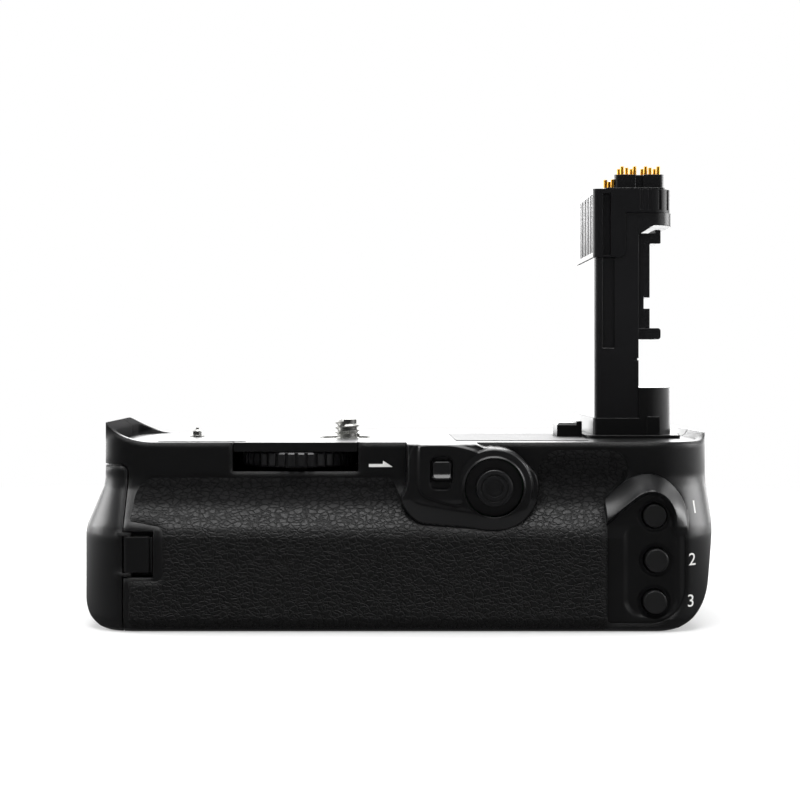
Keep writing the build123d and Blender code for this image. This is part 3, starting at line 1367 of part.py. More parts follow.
with BuildPart() as thumb_board:
    add(slab(thumb_board_outline, THUMB_BOARD_Y, THUMB_BOARD_Y + BOARD_T))
    with BuildSketch(rear_plane(THUMB_BOARD_Y)):
        with Locations(*zip(THUMB_X, THUMB_Z)):
            Circle(SWITCH_R)
    extrude(amount=SWITCH_T)
save(thumb_board.part, "thumb_board")

thumb_floor_y = (THUMB_Y + HOOD_D, THUMB_Y + LOW_POCKET_D, THUMB_Y + LOW_POCKET_D)
thumb_flange_y = THUMB_BACK_Y + MOVE_GAP
thumb_pusher_y = THUMB_BOARD_Y - SWITCH_T - THUMB_TRAVEL - END_GAP
for number, (x, z, floor_y) in enumerate(zip(THUMB_X, THUMB_Z, thumb_floor_y), start=1):
    with BuildPart() as thumb_button:
        with BuildSketch(rear_plane(thumb_flange_y)):
            with Locations((x, z)):
                Circle(THUMB_R)
        extrude(amount=thumb_flange_y - floor_y + THUMB_RISE)
        fillet(thumb_button.faces().sort_by(Axis.Y)[0].edges(), THUMB_ROUND)
        with BuildSketch(rear_plane(thumb_flange_y)):
            with Locations((x, z)):
                Circle(THUMB_HOLE_R + FLANGE_RIM / 2)
        extrude(amount=-FLANGE_T)
        with BuildSketch(rear_plane(thumb_flange_y)):
            with Locations((x, z)):
                Circle(PUSHER_R)
        extrude(amount=thumb_flange_y - thumb_pusher_y)
    save(thumb_button.part, f"thumb_button_{number}")

# Board against the inner end of the compartment
with BuildPart() as main_board:
    add(
        span_box(
            bay_right,
            bay_right + BOARD_T,
            bay_rear,
            bay_front - MOVE_GAP,
            BAY_FLOOR_Z + BAY_T,
            bay_top_z,
        )
    )
save(main_board.part, "main_board")


# Buttons in a cup at the front: release button and function button
def button_cup(plane, inner_r, outer_r, rise):
    """Cup that guides a button, closed at its inner end, with the switch on its floor."""
    with BuildPart() as cup:
        with BuildSketch(plane.offset(-RELEASE_CUP_D)):
            Circle(outer_r)
        extrude(amount=RELEASE_CUP_D + rise)
        with BuildSketch(plane.offset(CUP_WALL - RELEASE_CUP_D)):
            Circle(inner_r)
        extrude(amount=RELEASE_CUP_D + rise, mode=Mode.SUBTRACT)
        with BuildSketch(plane.offset(CUP_WALL - RELEASE_CUP_D)):
            Circle(SWITCH_R)
        extrude(amount=SWITCH_T)
    return cup.part


def cup_button(plane, radius, rise, travel, crown):
    """Button that slides in its cup and stops just short of the switch."""
    with BuildPart() as button:
        low = CUP_WALL + SWITCH_T + travel + END_GAP - RELEASE_CUP_D
        with BuildSketch(plane.offset(low)):
            Circle(radius)
        extrude(amount=rise - low)
        top = button.edges().filter_by(GeomType.CIRCLE).sort_by(Axis(plane.origin, plane.z_dir))[-1]
        fillet(top, crown)
    return button.part


release_plane = slant_plane(RELEASE_Z)
save(button_cup(release_plane, RELEASE_R + MOVE_GAP, RELEASE_RING_R, RELEASE_RING_RISE), "release_cup")
save(cup_button(release_plane, RELEASE_R, RELEASE_RISE, RELEASE_TRAVEL, RELEASE_CROWN), "release_button")
save(
    button_cup(function_plane, FUNCTION_R + MOVE_GAP, FUNCTION_R + MOVE_GAP + CUP_WALL, 0), "function_cup"
)
save(
    cup_button(function_plane, FUNCTION_R, FUNCTION_RISE, FUNCTION_TRAVEL, THUMB_ROUND), "function_button"
)

with BuildPart() as power_lever:
    with BuildSketch(slant_plane(LEVER_Z).offset(LEVER_GAP)):
        Circle(LEVER_R)
        with Locations((0, LEVER_TAB_L / 2)):
            RectangleRounded(LEVER_TAB_W, LEVER_TAB_L, LEVER_TAB_W / 3)
        Circle(LEVER_STUD_R + RUN_FIT, mode=Mode.SUBTRACT)
    extrude(amount=LEVER_T)
save(power_lever.part, "power_lever")

# Main dial in the right end
with BuildPart() as main_dial:
    with BuildSketch(Plane((DIAL_X, DIAL_Y, dial_z))):
        Circle(DIAL_R)
        with PolarLocations(DIAL_R, DIAL_RIBS):
            Rectangle(2 * DIAL_GROOVE_D, DIAL_GROOVE_W, mode=Mode.SUBTRACT)
        Circle(DIAL_AXLE_R + RUN_FIT, mode=Mode.SUBTRACT)
    extrude(amount=DIAL_T)
save(main_dial.part, "main_dial")

bracket_low = dial_z - MOVE_GAP - DIAL_PLATE_T
bracket_high = dial_z + DIAL_T + MOVE_GAP + DIAL_PLATE_T
with BuildPart() as dial_axle:
    with Locations((DIAL_X, DIAL_Y, bracket_low)):
        Cylinder(DIAL_AXLE_R, bracket_high - bracket_low, align=(Align.CENTER, Align.CENTER, Align.MIN))
save(dial_axle.part, "dial_axle")

dial_back_x = DIAL_X - DIAL_R - MOVE_GAP
with BuildPart() as dial_bracket:
    add(
        span_box(
            dial_back_x - DIAL_PLATE_T,
            BODY_RIGHT - WALL,
            DIAL_Y - DIAL_BRACKET_W / 2,
            DIAL_Y + DIAL_BRACKET_W / 2,
            bracket_low,
            bracket_high,
        )
    )
    add(
        span_box(
            dial_back_x,
            BODY_RIGHT,
            DIAL_Y - DIAL_BRACKET_W,
            DIAL_Y + DIAL_BRACKET_W,
            dial_z - MOVE_GAP,
            dial_z + DIAL_T + MOVE_GAP,
        ),
        mode=Mode.SUBTRACT,
    )
    add(dial_axle.part, mode=Mode.SUBTRACT)
    add(front_cover.part, mode=Mode.SUBTRACT)
save(dial_bracket.part, "dial_bracket")

# Tower: flange on the deck, foot, frame with the hook and the spine, head, contacts
flange_rear = TOWER_REAR - FLANGE_EDGE
flange_front = TOWER_FRONT + FLANGE_EDGE
flange_top = DECK_Z + FLANGE_PLATE_T
with BuildPart() as tower_flange:
    with BuildSketch(Plane.XY.offset(DECK_Z)):
        with Locations(((FLANGE_LEFT + FLANGE_RIGHT) / 2, (flange_rear + flange_front) / 2)):
            RectangleRounded(FLANGE_RIGHT - FLANGE_LEFT, flange_front - flange_rear, FLANGE_EDGE)
        with Locations((FLANGE_RIGHT, FLANGE_TAB_Y)):
            Rectangle(2 * FLANGE_TAB_L, FLANGE_TAB_W)
        add(root_outline.sketch, mode=Mode.SUBTRACT)
    extrude(amount=FLANGE_PLATE_T)
save(tower_flange.part, "tower_flange")

with BuildPart() as tower_frame:
    add(
        slab(
            rear_outline(
                [
                    (TOWER_LEFT, flange_top),
                    (SHANK_RIGHT, flange_top),
                    (SHANK_RIGHT, HOOK_SLANT_LOW),
                    (HOOK_SLANT_X, HOOK_LOW),
                    (TOWER_RIGHT, HOOK_LOW),
                    (TOWER_RIGHT, HOOK_HIGH),
                    (HEAD_NECK_X, HOOK_HIGH),
                    (HEAD_NECK_X, HEAD_BOTTOM),
                    (TOWER_LEFT, HEAD_BOTTOM),
                ],
                [0, 0, 0, 0, 0, 0, 0, HEAD_CORNER_R, 0],
            ),
            TOWER_REAR,
            TOWER_FRONT,
        )
    )
    upright = tower_frame.edges().filter_by(Axis.Z)
    fillet(upright.group_by(Axis.X)[0].sort_by(Axis.Y)[0], TOWER_R)
    fillet(tower_frame.edges().filter_by(Axis.Z).group_by(Axis.X)[0].sort_by(Axis.Y)[-1], TOWER_FAR_R)
    fillet(tower_frame.edges().filter_by(Axis.Z).group_by(Axis.X)[-1], HEAD_ROUND_R)
    add(
        slab(
            rear_outline(
                [
                    (SHANK_RIGHT, SPINE_LOW),
                    (SPINE_RIGHT, SPINE_LOW),
                    (SPINE_RIGHT, SPINE_NOTCH_LOW),
                    (SPINE_RIGHT - SPINE_NOTCH_D, SPINE_NOTCH_LOW),
                    (SPINE_RIGHT - SPINE_NOTCH_D, SPINE_NOTCH_HIGH),
                    (SPINE_RIGHT, SPINE_NOTCH_HIGH),
                    (SPINE_RIGHT, SPINE_HIGH),
                    (SHANK_RIGHT, SPINE_HIGH),
                ],
                0,
            ),
            SPINE_REAR,
            SPINE_FRONT,
        )
    )
    add(
        span_box(
            PANEL_LEFT, PANEL_RIGHT, TOWER_REAR - CUT, TOWER_REAR + PANEL_D, PANEL_LOW, HEAD_BOTTOM + CUT
        ),
        mode=Mode.SUBTRACT,
    )
    with BuildSketch(Plane.XY.offset(ROOT_Z)):
        add(root_outline.sketch)
    extrude(amount=flange_top - ROOT_Z)
    tower_middle_y = (TOWER_REAR + TOWER_FRONT) / 2
    board_block = span_box(
        TOWER_BOARD_X,
        TOWER_BOARD_X + TOWER_BOARD_T,
        tower_middle_y - TOWER_BOARD_W / 2,
        tower_middle_y + TOWER_BOARD_W / 2,
        ROOT_Z,
        TOWER_TOP - 2 * TOWER_R,
    )
    add(board_block, mode=Mode.SUBTRACT)
save(tower_frame.part, "tower_frame")

with BuildPart() as tower_board:
    add(board_block)
save(tower_board.part, "tower_board")

with BuildPart() as tower_foot:
    with BuildSketch(Plane.XY.offset(flange_top)):
        with BuildLine():
            FilletPolyline(
                (foot_left, foot_rear),
                (TOWER_RIGHT, foot_rear),
                (TOWER_RIGHT, foot_front),
                (foot_left, foot_front),
                radius=[TOWER_R, FOOT_R, FOOT_R, TOWER_R],
                close=True,
            )
        make_face()
    extrude(amount=FOOT_TOP - flange_top)
    add(
        span_box(
            foot_left - CUT, SHANK_RIGHT, foot_rear - CUT, foot_front + CUT, LEDGE_Z, FOOT_TOP + CUT
        ),
        mode=Mode.SUBTRACT,
    )
    add(
        span_box(
            CLIP_RIGHT - FLANGE_EDGE - TOWER_R,
            CLIP_RIGHT - TOWER_R / 2,
            foot_rear - FOOT_RIM / 2,
            foot_rear + FOOT_R / 2,
            flange_top,
            LEDGE_Z + FOOT_RIM,
        )
    )
    add(tower_frame.part, mode=Mode.SUBTRACT)
    add(board_block, mode=Mode.SUBTRACT)
save(tower_foot.part, "tower_foot")

head_left = TOWER_LEFT - HEAD_PROUD
head_right = TOWER_RIGHT - HEAD_PROUD
with BuildPart() as tower_head:
    add(
        slab(
            rear_outline(
                [
                    (head_left, HEAD_BOTTOM),
                    (HEAD_NECK_X, HEAD_BOTTOM),
                    (HEAD_NECK_X, HOOK_HIGH),
                    (head_right, HOOK_HIGH),
                    (head_right, TOWER_TOP),
                    (head_left, TOWER_TOP),
                ],
                [0, HEAD_CORNER_R, 0, 0, 0, 0],
            ),
            TOWER_REAR - HEAD_PROUD,
            TOWER_FRONT + HEAD_PROUD,
        )
    )
    fillet(tower_head.edges().filter_by(Axis.Z).group_by(Axis.X)[0].sort_by(Axis.Y)[0], TOWER_R)
    fillet(tower_head.edges().filter_by(Axis.Z).group_by(Axis.X)[0].sort_by(Axis.Y)[-1], TOWER_FAR_R)
    fillet(tower_head.edges().filter_by(Axis.Z).group_by(Axis.X)[-1], HEAD_ROUND_R)
    with BuildSketch(Plane.YZ.offset(head_left)):
        with Locations((TOWER_REAR + RIB_TOTAL * RIB_PITCH / 2 + TOWER_R, (HEAD_BOTTOM + TOWER_TOP) / 2)):
            with GridLocations(RIB_PITCH, 0, RIB_TOTAL, 1):
                Rectangle(RIB_W, TOWER_TOP - HEAD_BOTTOM - 2 * TOWER_R)
    extrude(amount=RIB_D, mode=Mode.SUBTRACT)
    add(
        span_box(
            PANEL_LEFT,
            PANEL_RIGHT - RIB_W,
            TOWER_REAR - CUT,
            TOWER_REAR - HEAD_PROUD + PANEL_D,
            HEAD_BOTTOM + HEAD_PROUD,
            TOWER_TOP - TOWER_R,
        ),
        mode=Mode.SUBTRACT,
    )
    add(board_block, mode=Mode.SUBTRACT)
save(tower_head.part, "tower_head")

# Clips that park the camera's battery door on the tower
clip_front = CLIP_REAR + CLIP_W
upper_shelf_z = UPPER_CLIP_Z + UPPER_CLIP_T - CLIP_LIP_H
with BuildPart() as door_clip_upper:
    add(span_box(CLIP_LEFT, CLIP_RIGHT, CLIP_REAR, clip_front, UPPER_CLIP_Z, upper_shelf_z))
    add(
        span_box(
            CLIP_RIGHT - CLIP_LIP,
            CLIP_RIGHT,
            CLIP_REAR,
            clip_front,
            UPPER_CLIP_Z,
            upper_shelf_z + CLIP_LIP_H,
        )
    )
    fillet(door_clip_upper.edges().filter_by(Axis.Y).group_by(Axis.X)[-1], CLIP_LIP / 4)
    add(tower_frame.part, mode=Mode.SUBTRACT)
save(door_clip_upper.part, "door_clip_upper")

with BuildPart() as door_clip_lower:
    add(span_box(CLIP_LEFT, CLIP_RIGHT, CLIP_REAR, clip_front, LOWER_CLIP_Z, LOWER_CLIP_Z + CLIP_T))
    fillet(door_clip_lower.edges().filter_by(Axis.Y).group_by(Axis.X)[-1], CLIP_LIP / 2)
save(door_clip_lower.part, "door_clip_lower")

# Contacts
contact_z = TOWER_TOP + CONTACT_FLANGE_T
contact_top = contact_z + CONTACT_T
contact_middle_x = (CONTACT_LEFT + CONTACT_RIGHT) / 2
contact_middle_y = CONTACT_REAR + CONTACT_DEPTH / 2
pin_places = []
for group_x in (CONTACT_PIN_X - CONTACT_GROUP_GAP / 2, CONTACT_PIN_X + CONTACT_GROUP_GAP / 2):
    pin_places.append((group_x, contact_middle_y))
    for side_x in (-CONTACT_PITCH, CONTACT_PITCH):
        for side_y in (-CONTACT_ROW_GAP, CONTACT_ROW_GAP):
            pin_places.append((group_x + side_x, contact_middle_y + side_y))
low_pin_places = [(CONTACT_FLANGE_LEFT + inset, y) for inset, y in zip(LOW_PIN_INSET, LOW_PIN_Y)]
with BuildPart() as contact_block:
    with BuildSketch(Plane.XY.offset(TOWER_TOP)):
        with Locations(((CONTACT_FLANGE_LEFT + CONTACT_RIGHT) / 2, contact_middle_y)):
            RectangleRounded(CONTACT_RIGHT - CONTACT_FLANGE_LEFT, CONTACT_DEPTH + CONTACT_R, CONTACT_R)
    extrude(amount=CONTACT_FLANGE_T)
    with BuildSketch(Plane.XY.offset(contact_z)):
        with Locations((contact_middle_x, contact_middle_y)):
            RectangleRounded(CONTACT_RIGHT - CONTACT_LEFT - HEAD_PROUD, CONTACT_DEPTH, CONTACT_R)
        with Locations((contact_middle_x, CONTACT_REAR), (contact_middle_x, CONTACT_REAR + CONTACT_DEPTH)):
            Rectangle(CONTACT_NOTCH_W, 2 * CONTACT_NOTCH_D, mode=Mode.SUBTRACT)
    extrude(amount=CONTACT_T)
    with BuildSketch(Plane.XY.offset(contact_top)):
        with Locations(*pin_places):
            Circle(CONTACT_PIN_R + RUN_FIT)
    extrude(amount=-CONTACT_PIN_ROOT - CONTACT_TRAVEL - END_GAP, mode=Mode.SUBTRACT)
    with BuildSketch(Plane.XY.offset(TOWER_TOP)):
        with Locations(*low_pin_places):
            Circle(CONTACT_PIN_R)
    extrude(amount=CONTACT_FLANGE_T, mode=Mode.SUBTRACT)
save(contact_block.part, "contact_block")

with BuildPart() as contact_pins:
    with BuildSketch(Plane.XY.offset(contact_top - CONTACT_PIN_ROOT)):
        with Locations(*pin_places):
            Circle(CONTACT_PIN_R)
    extrude(amount=CONTACT_PIN_ROOT + CONTACT_PIN_RISE)
save(contact_pins.part, "contact_pins")

with BuildPart() as low_contact_pins:
    with BuildSketch(Plane.XY.offset(TOWER_TOP)):
        with Locations(*low_pin_places):
            Circle(CONTACT_PIN_R)
    extrude(amount=LOW_PIN_RISE)
save(low_contact_pins.part, "low_contact_pins")

# Block with a rib on the deck, beside the tower
with BuildPart() as deck_block:
    add(span_box(BLOCK_LEFT, BLOCK_RIGHT, BLOCK_REAR, BLOCK_FRONT, DECK_Z, DECK_Z + BLOCK_RISE))
    chamfer(deck_block.faces().sort_by(Axis.Z)[-1].edges(), BLOCK_R)
    add(
        span_box(
            BLOCK_RIGHT - BLOCK_RIB_W,
            BLOCK_RIGHT,
            BLOCK_REAR,
            BLOCK_FRONT,
            DECK_Z,
            DECK_Z + BLOCK_RISE + BLOCK_RIB_RISE,
        )
    )
save(deck_block.part, "deck_block")
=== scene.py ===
"""Looks of a camera battery grip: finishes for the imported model, and the pieces that close views need."""

import json
import logging
import math
from dataclasses import dataclass
from enum import Enum
from typing import Callable, Dict, List, Mapping, Optional, Sequence, Tuple, Union

import bmesh
import bpy
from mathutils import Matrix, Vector

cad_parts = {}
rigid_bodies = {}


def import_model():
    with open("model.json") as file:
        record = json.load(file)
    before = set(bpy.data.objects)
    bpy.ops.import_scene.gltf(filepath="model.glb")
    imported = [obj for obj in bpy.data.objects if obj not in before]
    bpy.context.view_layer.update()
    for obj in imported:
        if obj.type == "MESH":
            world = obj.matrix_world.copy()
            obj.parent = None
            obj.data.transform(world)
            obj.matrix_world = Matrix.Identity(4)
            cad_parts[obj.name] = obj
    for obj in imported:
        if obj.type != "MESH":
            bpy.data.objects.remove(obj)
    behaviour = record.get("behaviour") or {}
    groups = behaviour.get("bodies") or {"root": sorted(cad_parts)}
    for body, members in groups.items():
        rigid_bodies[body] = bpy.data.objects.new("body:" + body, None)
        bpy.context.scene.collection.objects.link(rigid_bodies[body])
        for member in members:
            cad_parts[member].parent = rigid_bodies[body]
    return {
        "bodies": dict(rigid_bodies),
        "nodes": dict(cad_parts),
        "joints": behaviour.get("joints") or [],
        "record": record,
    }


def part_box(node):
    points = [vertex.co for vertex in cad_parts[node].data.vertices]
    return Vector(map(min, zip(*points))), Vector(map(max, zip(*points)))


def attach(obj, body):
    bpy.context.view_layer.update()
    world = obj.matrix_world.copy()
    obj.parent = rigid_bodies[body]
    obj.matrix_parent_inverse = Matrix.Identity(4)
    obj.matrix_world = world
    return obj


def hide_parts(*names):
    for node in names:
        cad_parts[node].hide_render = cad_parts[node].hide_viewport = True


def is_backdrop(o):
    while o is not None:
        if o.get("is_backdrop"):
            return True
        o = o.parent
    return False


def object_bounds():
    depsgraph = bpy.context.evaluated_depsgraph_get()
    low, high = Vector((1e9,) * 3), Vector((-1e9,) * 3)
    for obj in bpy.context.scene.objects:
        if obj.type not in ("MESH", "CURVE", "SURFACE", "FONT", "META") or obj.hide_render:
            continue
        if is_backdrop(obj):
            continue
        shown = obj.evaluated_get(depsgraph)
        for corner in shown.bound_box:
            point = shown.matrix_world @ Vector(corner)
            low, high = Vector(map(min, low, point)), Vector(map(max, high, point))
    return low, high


log = logging.getLogger("battery_grip")

Colour = Tuple[float, float, float, float]
Point = Tuple[float, float, float]
Span = Tuple[float, float]
Tablet = Tuple[float, float, float, float]  # left, right, low and high of a rectangle
Outline = Tuple[Span, ...]
Piece = bpy.types.Object
Tree = bpy.types.NodeTree
Node = bpy.types.Node
Socket = bpy.types.NodeSocket
FaceTest = Callable[[Vector, Vector], bool]
Inputs = Mapping[Union[str, int], Union[float, str, Sequence[float], Node, Socket]]

MM = 0.001  # the scene is in metres and every size below is in millimetres
MERGE_MM = 0.001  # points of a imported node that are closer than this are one
UPRIGHT: Point = (0.0, 0.0, 0.0)
FACING: Point = (math.pi / 2, 0.0, 0.0)  # turned towards the operator


class Body(Enum):
    """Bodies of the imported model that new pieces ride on."""

    GRIP = "grip"
    SCREW = "attachment_screw"
    LATCH = "drawer_latch"
    STICK_CAP = "stick_cap"
    AREA_BUTTON = "area_button"
    CONTACTS = "contact_pins"


# ---------------------------------------------------------------- shading helpers


def linear(code: str) -> Colour:
    """Turns an sRGB hex code such as "1a1a1c" into linear light.

    Args:
        code: six hex digits, red first.

    Returns:
        Red, green, blue and an alpha of 1.
    """
    channels = []
    for start in (0, 2, 4):
        value = int(code[start:start + 2], 16) / 255
        channels.append(value / 12.92 if value <= 0.04045 else ((value + 0.055) / 1.055) ** 2.4)
    return (channels[0], channels[1], channels[2], 1.0)


def add_node(tree: Tree, kind: str, inputs: Optional[Inputs] = None) -> Node:
    """Adds one node with its settings and its incoming links.

    Args:
        tree: the node tree.
        kind: the node's type.
        inputs: values and links by attribute, socket name or socket number; a node gives its first output.

    Returns:
        The new node.
    """
    node = tree.nodes.new(kind)
    for key, value in (inputs or {}).items():
        if isinstance(value, Node):
            value = value.outputs[0]
        if isinstance(value, Socket):
            tree.links.new(value, node.inputs[key])
        elif isinstance(key, str) and hasattr(node, key):
            setattr(node, key, value)
        else:
            node.inputs[key].default_value = value
    return node


def eased(source: Socket, span: Span, values: Span) -> Inputs:
    """Inputs that ease from one value to another while a source runs through a span.

    Args:
        source: the output that runs.
        span: where the easing starts and ends.
        values: the value before and after it.

    Returns:
        The inputs.
    """
    return {
        "interpolation_type": "SMOOTHSTEP",
        "From Min": span[0],
        "From Max": span[1],
        "To Min": values[0],
        "To Max": values[1],
        "Value": source,
    }


def per_metre(size_mm: float) -> float:
    """Scale of a pattern whose cells are this many millimetres wide."""
    return 1 / (size_mm * MM)


def new_material(name: str) -> Tuple[bpy.types.Material, Tree, Socket]:
    """Makes an empty node material.

    Args:
        name: the material's name.

    Returns:
        The material, its tree and the object coordinates that its patterns read.
    """
    material = bpy.data.materials.new(name)
    material.use_nodes = True
    tree = material.node_tree
    tree.nodes.clear()
    return material, tree, add_node(tree, "ShaderNodeTexCoord").outputs["Object"]


# ---------------------------------------------------------------- finishes


PATCH_ROUGHNESS = 0.6  # how much rougher a surface gets where a patch of painted shade takes all its shine


@dataclass(frozen=True)
class PaintedShadePatch:
    """Painted shade: a part of a surface whose shine is lowered, so that it renders darker than the rest."""

    middle: Point
    reach: Point
    share: float
    edge: Span = (0.8, 1.2)

    def level(self, tree: Tree, place: Socket, full: float) -> Node:
        """Specular level that falls towards the patch.

        Args:
            tree: the material's nodes.
            place: object coordinates.
            full: level outside the patch.

        Returns:
            The node that gives the level.
        """
        middle = Vector(self.middle) * MM
        scale = tuple(1 / (reach * MM) for reach in self.reach)
        moved = add_node(tree, "ShaderNodeVectorMath", {"operation": "SUBTRACT", 0: place, 1: middle})
        scaled = add_node(tree, "ShaderNodeVectorMath", {"operation": "MULTIPLY", 0: moved, 1: scale})
        off = add_node(tree, "ShaderNodeVectorMath", {"operation": "LENGTH", 0: scaled})
        fall = eased(off.outputs["Value"], self.edge, (full * self.share, full))
        return add_node(tree, "ShaderNodeMapRange", fall)


@dataclass(frozen=True)
class Finish:
    """What every finish has: two tones, a gloss that follows them, a fine relief and soft edges."""

    name: str
    colour: str
    shade: str
    roughness: float

    def coat(
        self,
        tree: Tree,
        share: Node,
        height: Node,
        tones: Sequence[str],
        gloss: Span,
        bump: Span,
        edge: Tuple[int, float],
    ) -> Dict[str, Union[Node, Socket]]:
        """Works a pattern into tone, gloss, relief and edges.

        Args:
            tree: the material's nodes.
            share: the pattern that mixes the tones and the gloss.
            height: the pattern that raises the relief.
            tones: the colours where the share is 0 and 1.
            gloss: what is added to the roughness there.
            bump: the relief's strength, and its height in millimetres.
            edge: samples of the soft edges, and their radius in millimetres.

        Returns:
            Links for the surface.
        """
        soft_edge = add_node(tree, "ShaderNodeBevel", {"samples": edge[0], "Radius": edge[1] * MM})
        relief_inputs = {"Strength": bump[0], "Distance": bump[1] * MM, "Height": height, "Normal": soft_edge}
        low, high = (linear(tone) for tone in tones)
        tone = add_node(tree, "ShaderNodeMix", {"data_type": "RGBA", 0: share, 6: low, 7: high})
        rough = {"To Min": self.roughness + gloss[0], "To Max": self.roughness + gloss[1], "Value": share}
        return {
            "Base Color": tone.outputs[2],
            "Roughness": add_node(tree, "ShaderNodeMapRange", rough),
            "Normal": add_node(tree, "ShaderNodeBump", relief_inputs),
        }

    def add_painted_shade(
        self, tree: Tree, place: Socket, links: Inputs, full: float, patches: Sequence[PaintedShadePatch]
    ) -> Inputs:
        """Paints shade by taking shine from the surface where the painted-shade patches lie.

        Args:
            tree: the material's nodes.
            place: object coordinates.
            links: links for the surface.
            full: specular level outside the patches.
            patches: the patches.

        Returns:
            The links with the specular level, and the roughness that goes with it.
        """
        if not patches:
            return {**links, "Specular IOR Level": full}
        level = patches[0].level(tree, place, full)
        for patch in patches[1:]:
            both = {"operation": "MULTIPLY", 0: level, 1: patch.level(tree, place, 1.0)}
            level = add_node(tree, "ShaderNodeMath", both)
        slope, rest = -PATCH_ROUGHNESS / full, PATCH_ROUGHNESS
        lost = add_node(tree, "ShaderNodeMath", {"operation": "MULTIPLY_ADD", 0: level, 1: slope, 2: rest})
        rough = add_node(tree, "ShaderNodeMath", {"operation": "ADD", 0: lost, 1: links["Roughness"]})
        return {**links, "Specular IOR Level": level, "Roughness": rough}


@dataclass(frozen=True)
class Moulded(Finish):
    """Injection-moulded plastic: an even fine texture, edges that catch a thin light."""

    grain_mm: float
    grain_depth_mm: float
    edge_mm: float = 0.22
    specular: float = 0.35
    ior: float = 1.46
    # patches of painted shade, where the shine is lowered
    painted_shade_patches: Tuple[PaintedShadePatch, ...] = ()
    cloud_mm: float = 14

    def material(self) -> bpy.types.Material:
        """Builds the material: mould texture in the bump, slight unevenness in tone and gloss."""
        material, tree, place = new_material(self.name)
        cloud, grain = (
            add_node(tree, "ShaderNodeTexNoise", {"Scale": per_metre(size), "Detail": detail, "Vector": place})
            for size, detail in ((self.cloud_mm, 3.0), (self.grain_mm, 2.0))
        )
        bump = (0.6, self.grain_depth_mm)
        tones = (self.colour, self.shade)
        links = self.coat(tree, cloud, grain, tones, (-0.05, 0.07), bump, (4, self.edge_mm))
        # painted shade: less shine and more roughness in the patches
        links = self.add_painted_shade(tree, place, links, self.specular, self.painted_shade_patches)
        surface = add_node(tree, "ShaderNodeBsdfPrincipled", {"IOR": self.ior, **links})
        add_node(tree, "ShaderNodeOutputMaterial", {0: surface})
        return material


@dataclass(frozen=True)
class GrainedRubber(Finish):
    """Rubber skin moulded with leather grain: irregular cells with thin creases, which take the darker shade
    tone as painted shade.
    """

    cell_mm: float = 1.2
    crease_share: float = 0.17
    crease_depth_mm: float = 0.2
    drift_mm: float = 1.9
    drift_cell_mm: float = 2.2
    swell_cell_mm: float = 1.1
    swell_share: float = 0.9
    stretch: Point = (0.75, 1.0, 1.2)
    edge_mm: float = 2.4
    specular: float = 0.4
    ior: float = 1.5
    # patches of painted shade, where the shine is lowered
    painted_shade_patches: Tuple[PaintedShadePatch, ...] = ()

    def material(self) -> bpy.types.Material:
        """Builds the grain from distorted cells, with creases duller than the cells and painted darker as the
        shade that falls in them.
        """
        material, tree, place = new_material(self.name)
        drift, swell = (
            add_node(
                tree,
                "ShaderNodeTexNoise",
                {"Scale": per_metre(size), "Detail": detail, "Roughness": rough, "Vector": place},
            )
            for size, detail, rough in ((self.drift_cell_mm, 4.0, 0.65), (self.swell_cell_mm, 3.0, 0.6))
        )
        moved = drift.outputs[1]
        for settings in (
            {"operation": "SUBTRACT", 1: (0.5, 0.5, 0.5)},
            {"operation": "SCALE", "Scale": self.drift_mm * MM},
            {"operation": "ADD", 1: place},
            {"operation": "MULTIPLY", 1: self.stretch},
        ):
            moved = add_node(tree, "ShaderNodeVectorMath", {**settings, 0: moved})
        cell = {"feature": "DISTANCE_TO_EDGE", "Scale": per_metre(self.cell_mm), "Vector": moved}
        cells = add_node(tree, "ShaderNodeTexVoronoi", cell)
        dome = eased(cells.outputs[0], (0.0, self.crease_share), (0.0, 1.0))
        domes = add_node(tree, "ShaderNodeMapRange", dome)
        raised = {"operation": "MULTIPLY_ADD", 0: swell, 1: self.swell_share, 2: domes}
        height = add_node(tree, "ShaderNodeMath", raised)
        bump = (0.75, self.crease_depth_mm)
        # painted shade: the creases take the darker tone
        tones = (self.shade, self.colour)
        links = self.coat(tree, domes, height, tones, (0.15, 0.0), bump, (6, self.edge_mm))
        # painted shade: less shine and more roughness in the patches
        links = self.add_painted_shade(tree, place, links, self.specular, self.painted_shade_patches)
        surface = add_node(tree, "ShaderNodeBsdfPrincipled", {"IOR": self.ior, **links})
        add_node(tree, "ShaderNodeOutputMaterial", {0: surface})
        return material


@dataclass(frozen=True)
class Machined(Finish):
    """Turned or plated metal: fine lines left by the tool and a little unevenness in the polish."""

    line_mm: float
    line_depth_mm: float = 0.006
    smear_mm: float = 3
    edge_mm: float = 0.12
    squeeze: Point = (0.06, 0.06, 1.0)
    metallic: float = 1.0

    def material(self) -> bpy.types.Material:
        """Builds the metal with lines across the height of the piece."""
        material, tree, place = new_material(self.name)
        squeezed = add_node(tree, "ShaderNodeMapping", {"Scale": self.squeeze, "Vector": place})
        lines, smears = (
            add_node(tree, "ShaderNodeTexNoise", {"Scale": per_metre(size), "Detail": detail, "Vector": where})
            for size, detail, where in ((self.line_mm, 2.0, squeezed), (self.smear_mm, 3.0, place))
        )
        bump = (0.5, self.line_depth_mm)
        tones = (self.colour, self.shade)
        links = self.coat(tree, smears, lines, tones, (-0.06, 0.1), bump, (4, self.edge_mm))
        surface = add_node(tree, "ShaderNodeBsdfPrincipled", {"Metallic": self.metallic, **links})
        add_node(tree, "ShaderNodeOutputMaterial", {0: surface})
        return material


